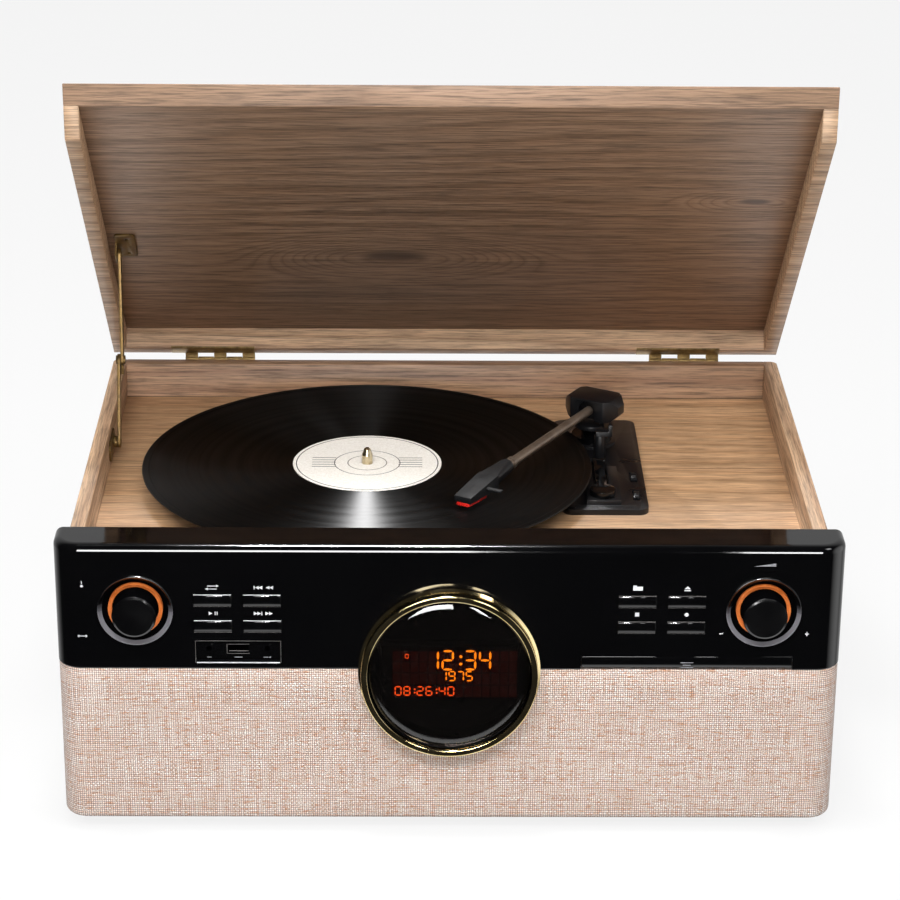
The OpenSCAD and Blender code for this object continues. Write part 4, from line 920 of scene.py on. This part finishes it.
mark("mark_folder", [oblong(x, high + 0.1, 6, 2.6), oblong(x - 1.8, high + 1.8, 2.2, 0.8)])
mark("mark_stop", [oblong(x, low, 2.6, 2.6)])
x = columns[1, 1]
mark("mark_eject", [[(x - 2, high - 0.2), (x + 2, high - 0.2), (x, high + 1.8)], oblong(x, high - 1.2, 4, 0.7)])
mark("mark_record", [disc(x, low, 1.3)])
mark("mark_minus", [oblong(169.4, 140.2, 2.2, 0.6)])
mark("mark_plus", [oblong(223.1, 140.2, 2.4, 0.6), oblong(223.1, 141.05, 0.6, 1.1), oblong(223.1, 139.35, 0.6, 1.1)])
mark("mark_wedge", [[(188.5, 186.2), (201.5, 186.2), (201.5, 188.2)]], print_grey)
mark("mark_standby", [disc(-228, 171.5, 0.9), oblong(-228, 173.9, 0.5, 2.0)])
mark("mark_source", [oblong(-229, 137.4, 5, 0.5), disc(-231, 137.4, 0.8), disc(-226.5, 137.4, 0.8)])
mark("mark_tray", [oblong(148.8, z, width, 0.5) for z, width in ((116.7, 8), (118.4, 5), (120.1, 8))], print_grey)

# %% [markdown]
# ## Painted highlights on the rims of the keys and of the sockets
# Each key shows a line along its top edge and one along its lower edge, bright at the top of the left block and
# dull elsewhere, and the sockets sit in a window with a bright lower lip. These are narrow strips of painted
# highlight, bright or dull, that stand for edges in the light.

# %% Bright and dull lines of painted highlight
PROUD, KEY_W = 0.06, 23.4
# Painted highlights: a near-white strip for a bright edge and a grey one for a dull edge
painted_highlight_line = grained("painted_edge_highlight", "#f4f4f6", "#d9d9de", 0.6, 0.15, 0.05, 0.1, 5)
painted_dull_highlight_line = grained("painted_dull_edge_highlight", "#6b6867", "#4b4847", 0.6, 0.3, 0.05, 0.1, 5)
for side in (-1, 1):
    for c in (0, 1):
        for r in (0, 1):
            x, z = columns[side, c], KEY_Z - (r - 0.5) * PITCH_Z
            mark("line_top_%d%d%d" % (side + 1, c, r), [oblong(x, z + 3.95, KEY_W, 0.5)],
                 painted_highlight_line if side < 0 else painted_dull_highlight_line, PROUD)
            mark("line_low_%d%d%d" % (side + 1, c, r), [oblong(x, z - 4.0, KEY_W, 0.2)], painted_dull_highlight_line, PROUD)
PORT_X, PORT_Z = -132, RIM_Z - 61.2
mark("line_port_low", [oblong(PORT_X, PORT_Z - 7.4, 52, 0.8)], painted_highlight_line, PROUD)
mark("line_port_frame", [oblong(PORT_X, PORT_Z + 7.5, 53, 0.3), oblong(PORT_X - 26.6, PORT_Z, 0.3, 15),
                         oblong(PORT_X + 26.6, PORT_Z, 0.3, 15)], painted_dull_highlight_line, PROUD)
SOCKET_Z, DEEP = PORT_Z + 1.6, -1.0
mark("line_data_socket", [oblong(PORT_X, SOCKET_Z + 3.2, 14, 0.3), oblong(PORT_X, SOCKET_Z - 3.2, 14, 0.3),
                          oblong(PORT_X - 7, SOCKET_Z, 0.3, 6.4), oblong(PORT_X + 0.3, SOCKET_Z - 1.3, 12, 0.5)],
     painted_dull_highlight_line, DEEP)
z = PORT_Z - 4.3
mark("mark_ports", [oblong(PORT_X - 18.2, z, 2.6, 0.5), oblong(PORT_X, z, 5, 0.5), oblong(PORT_X + 17.2, z, 3, 0.5),
                    disc(PORT_X + 19.8, z, 0.5)], print_grey, DEEP - 0.4)
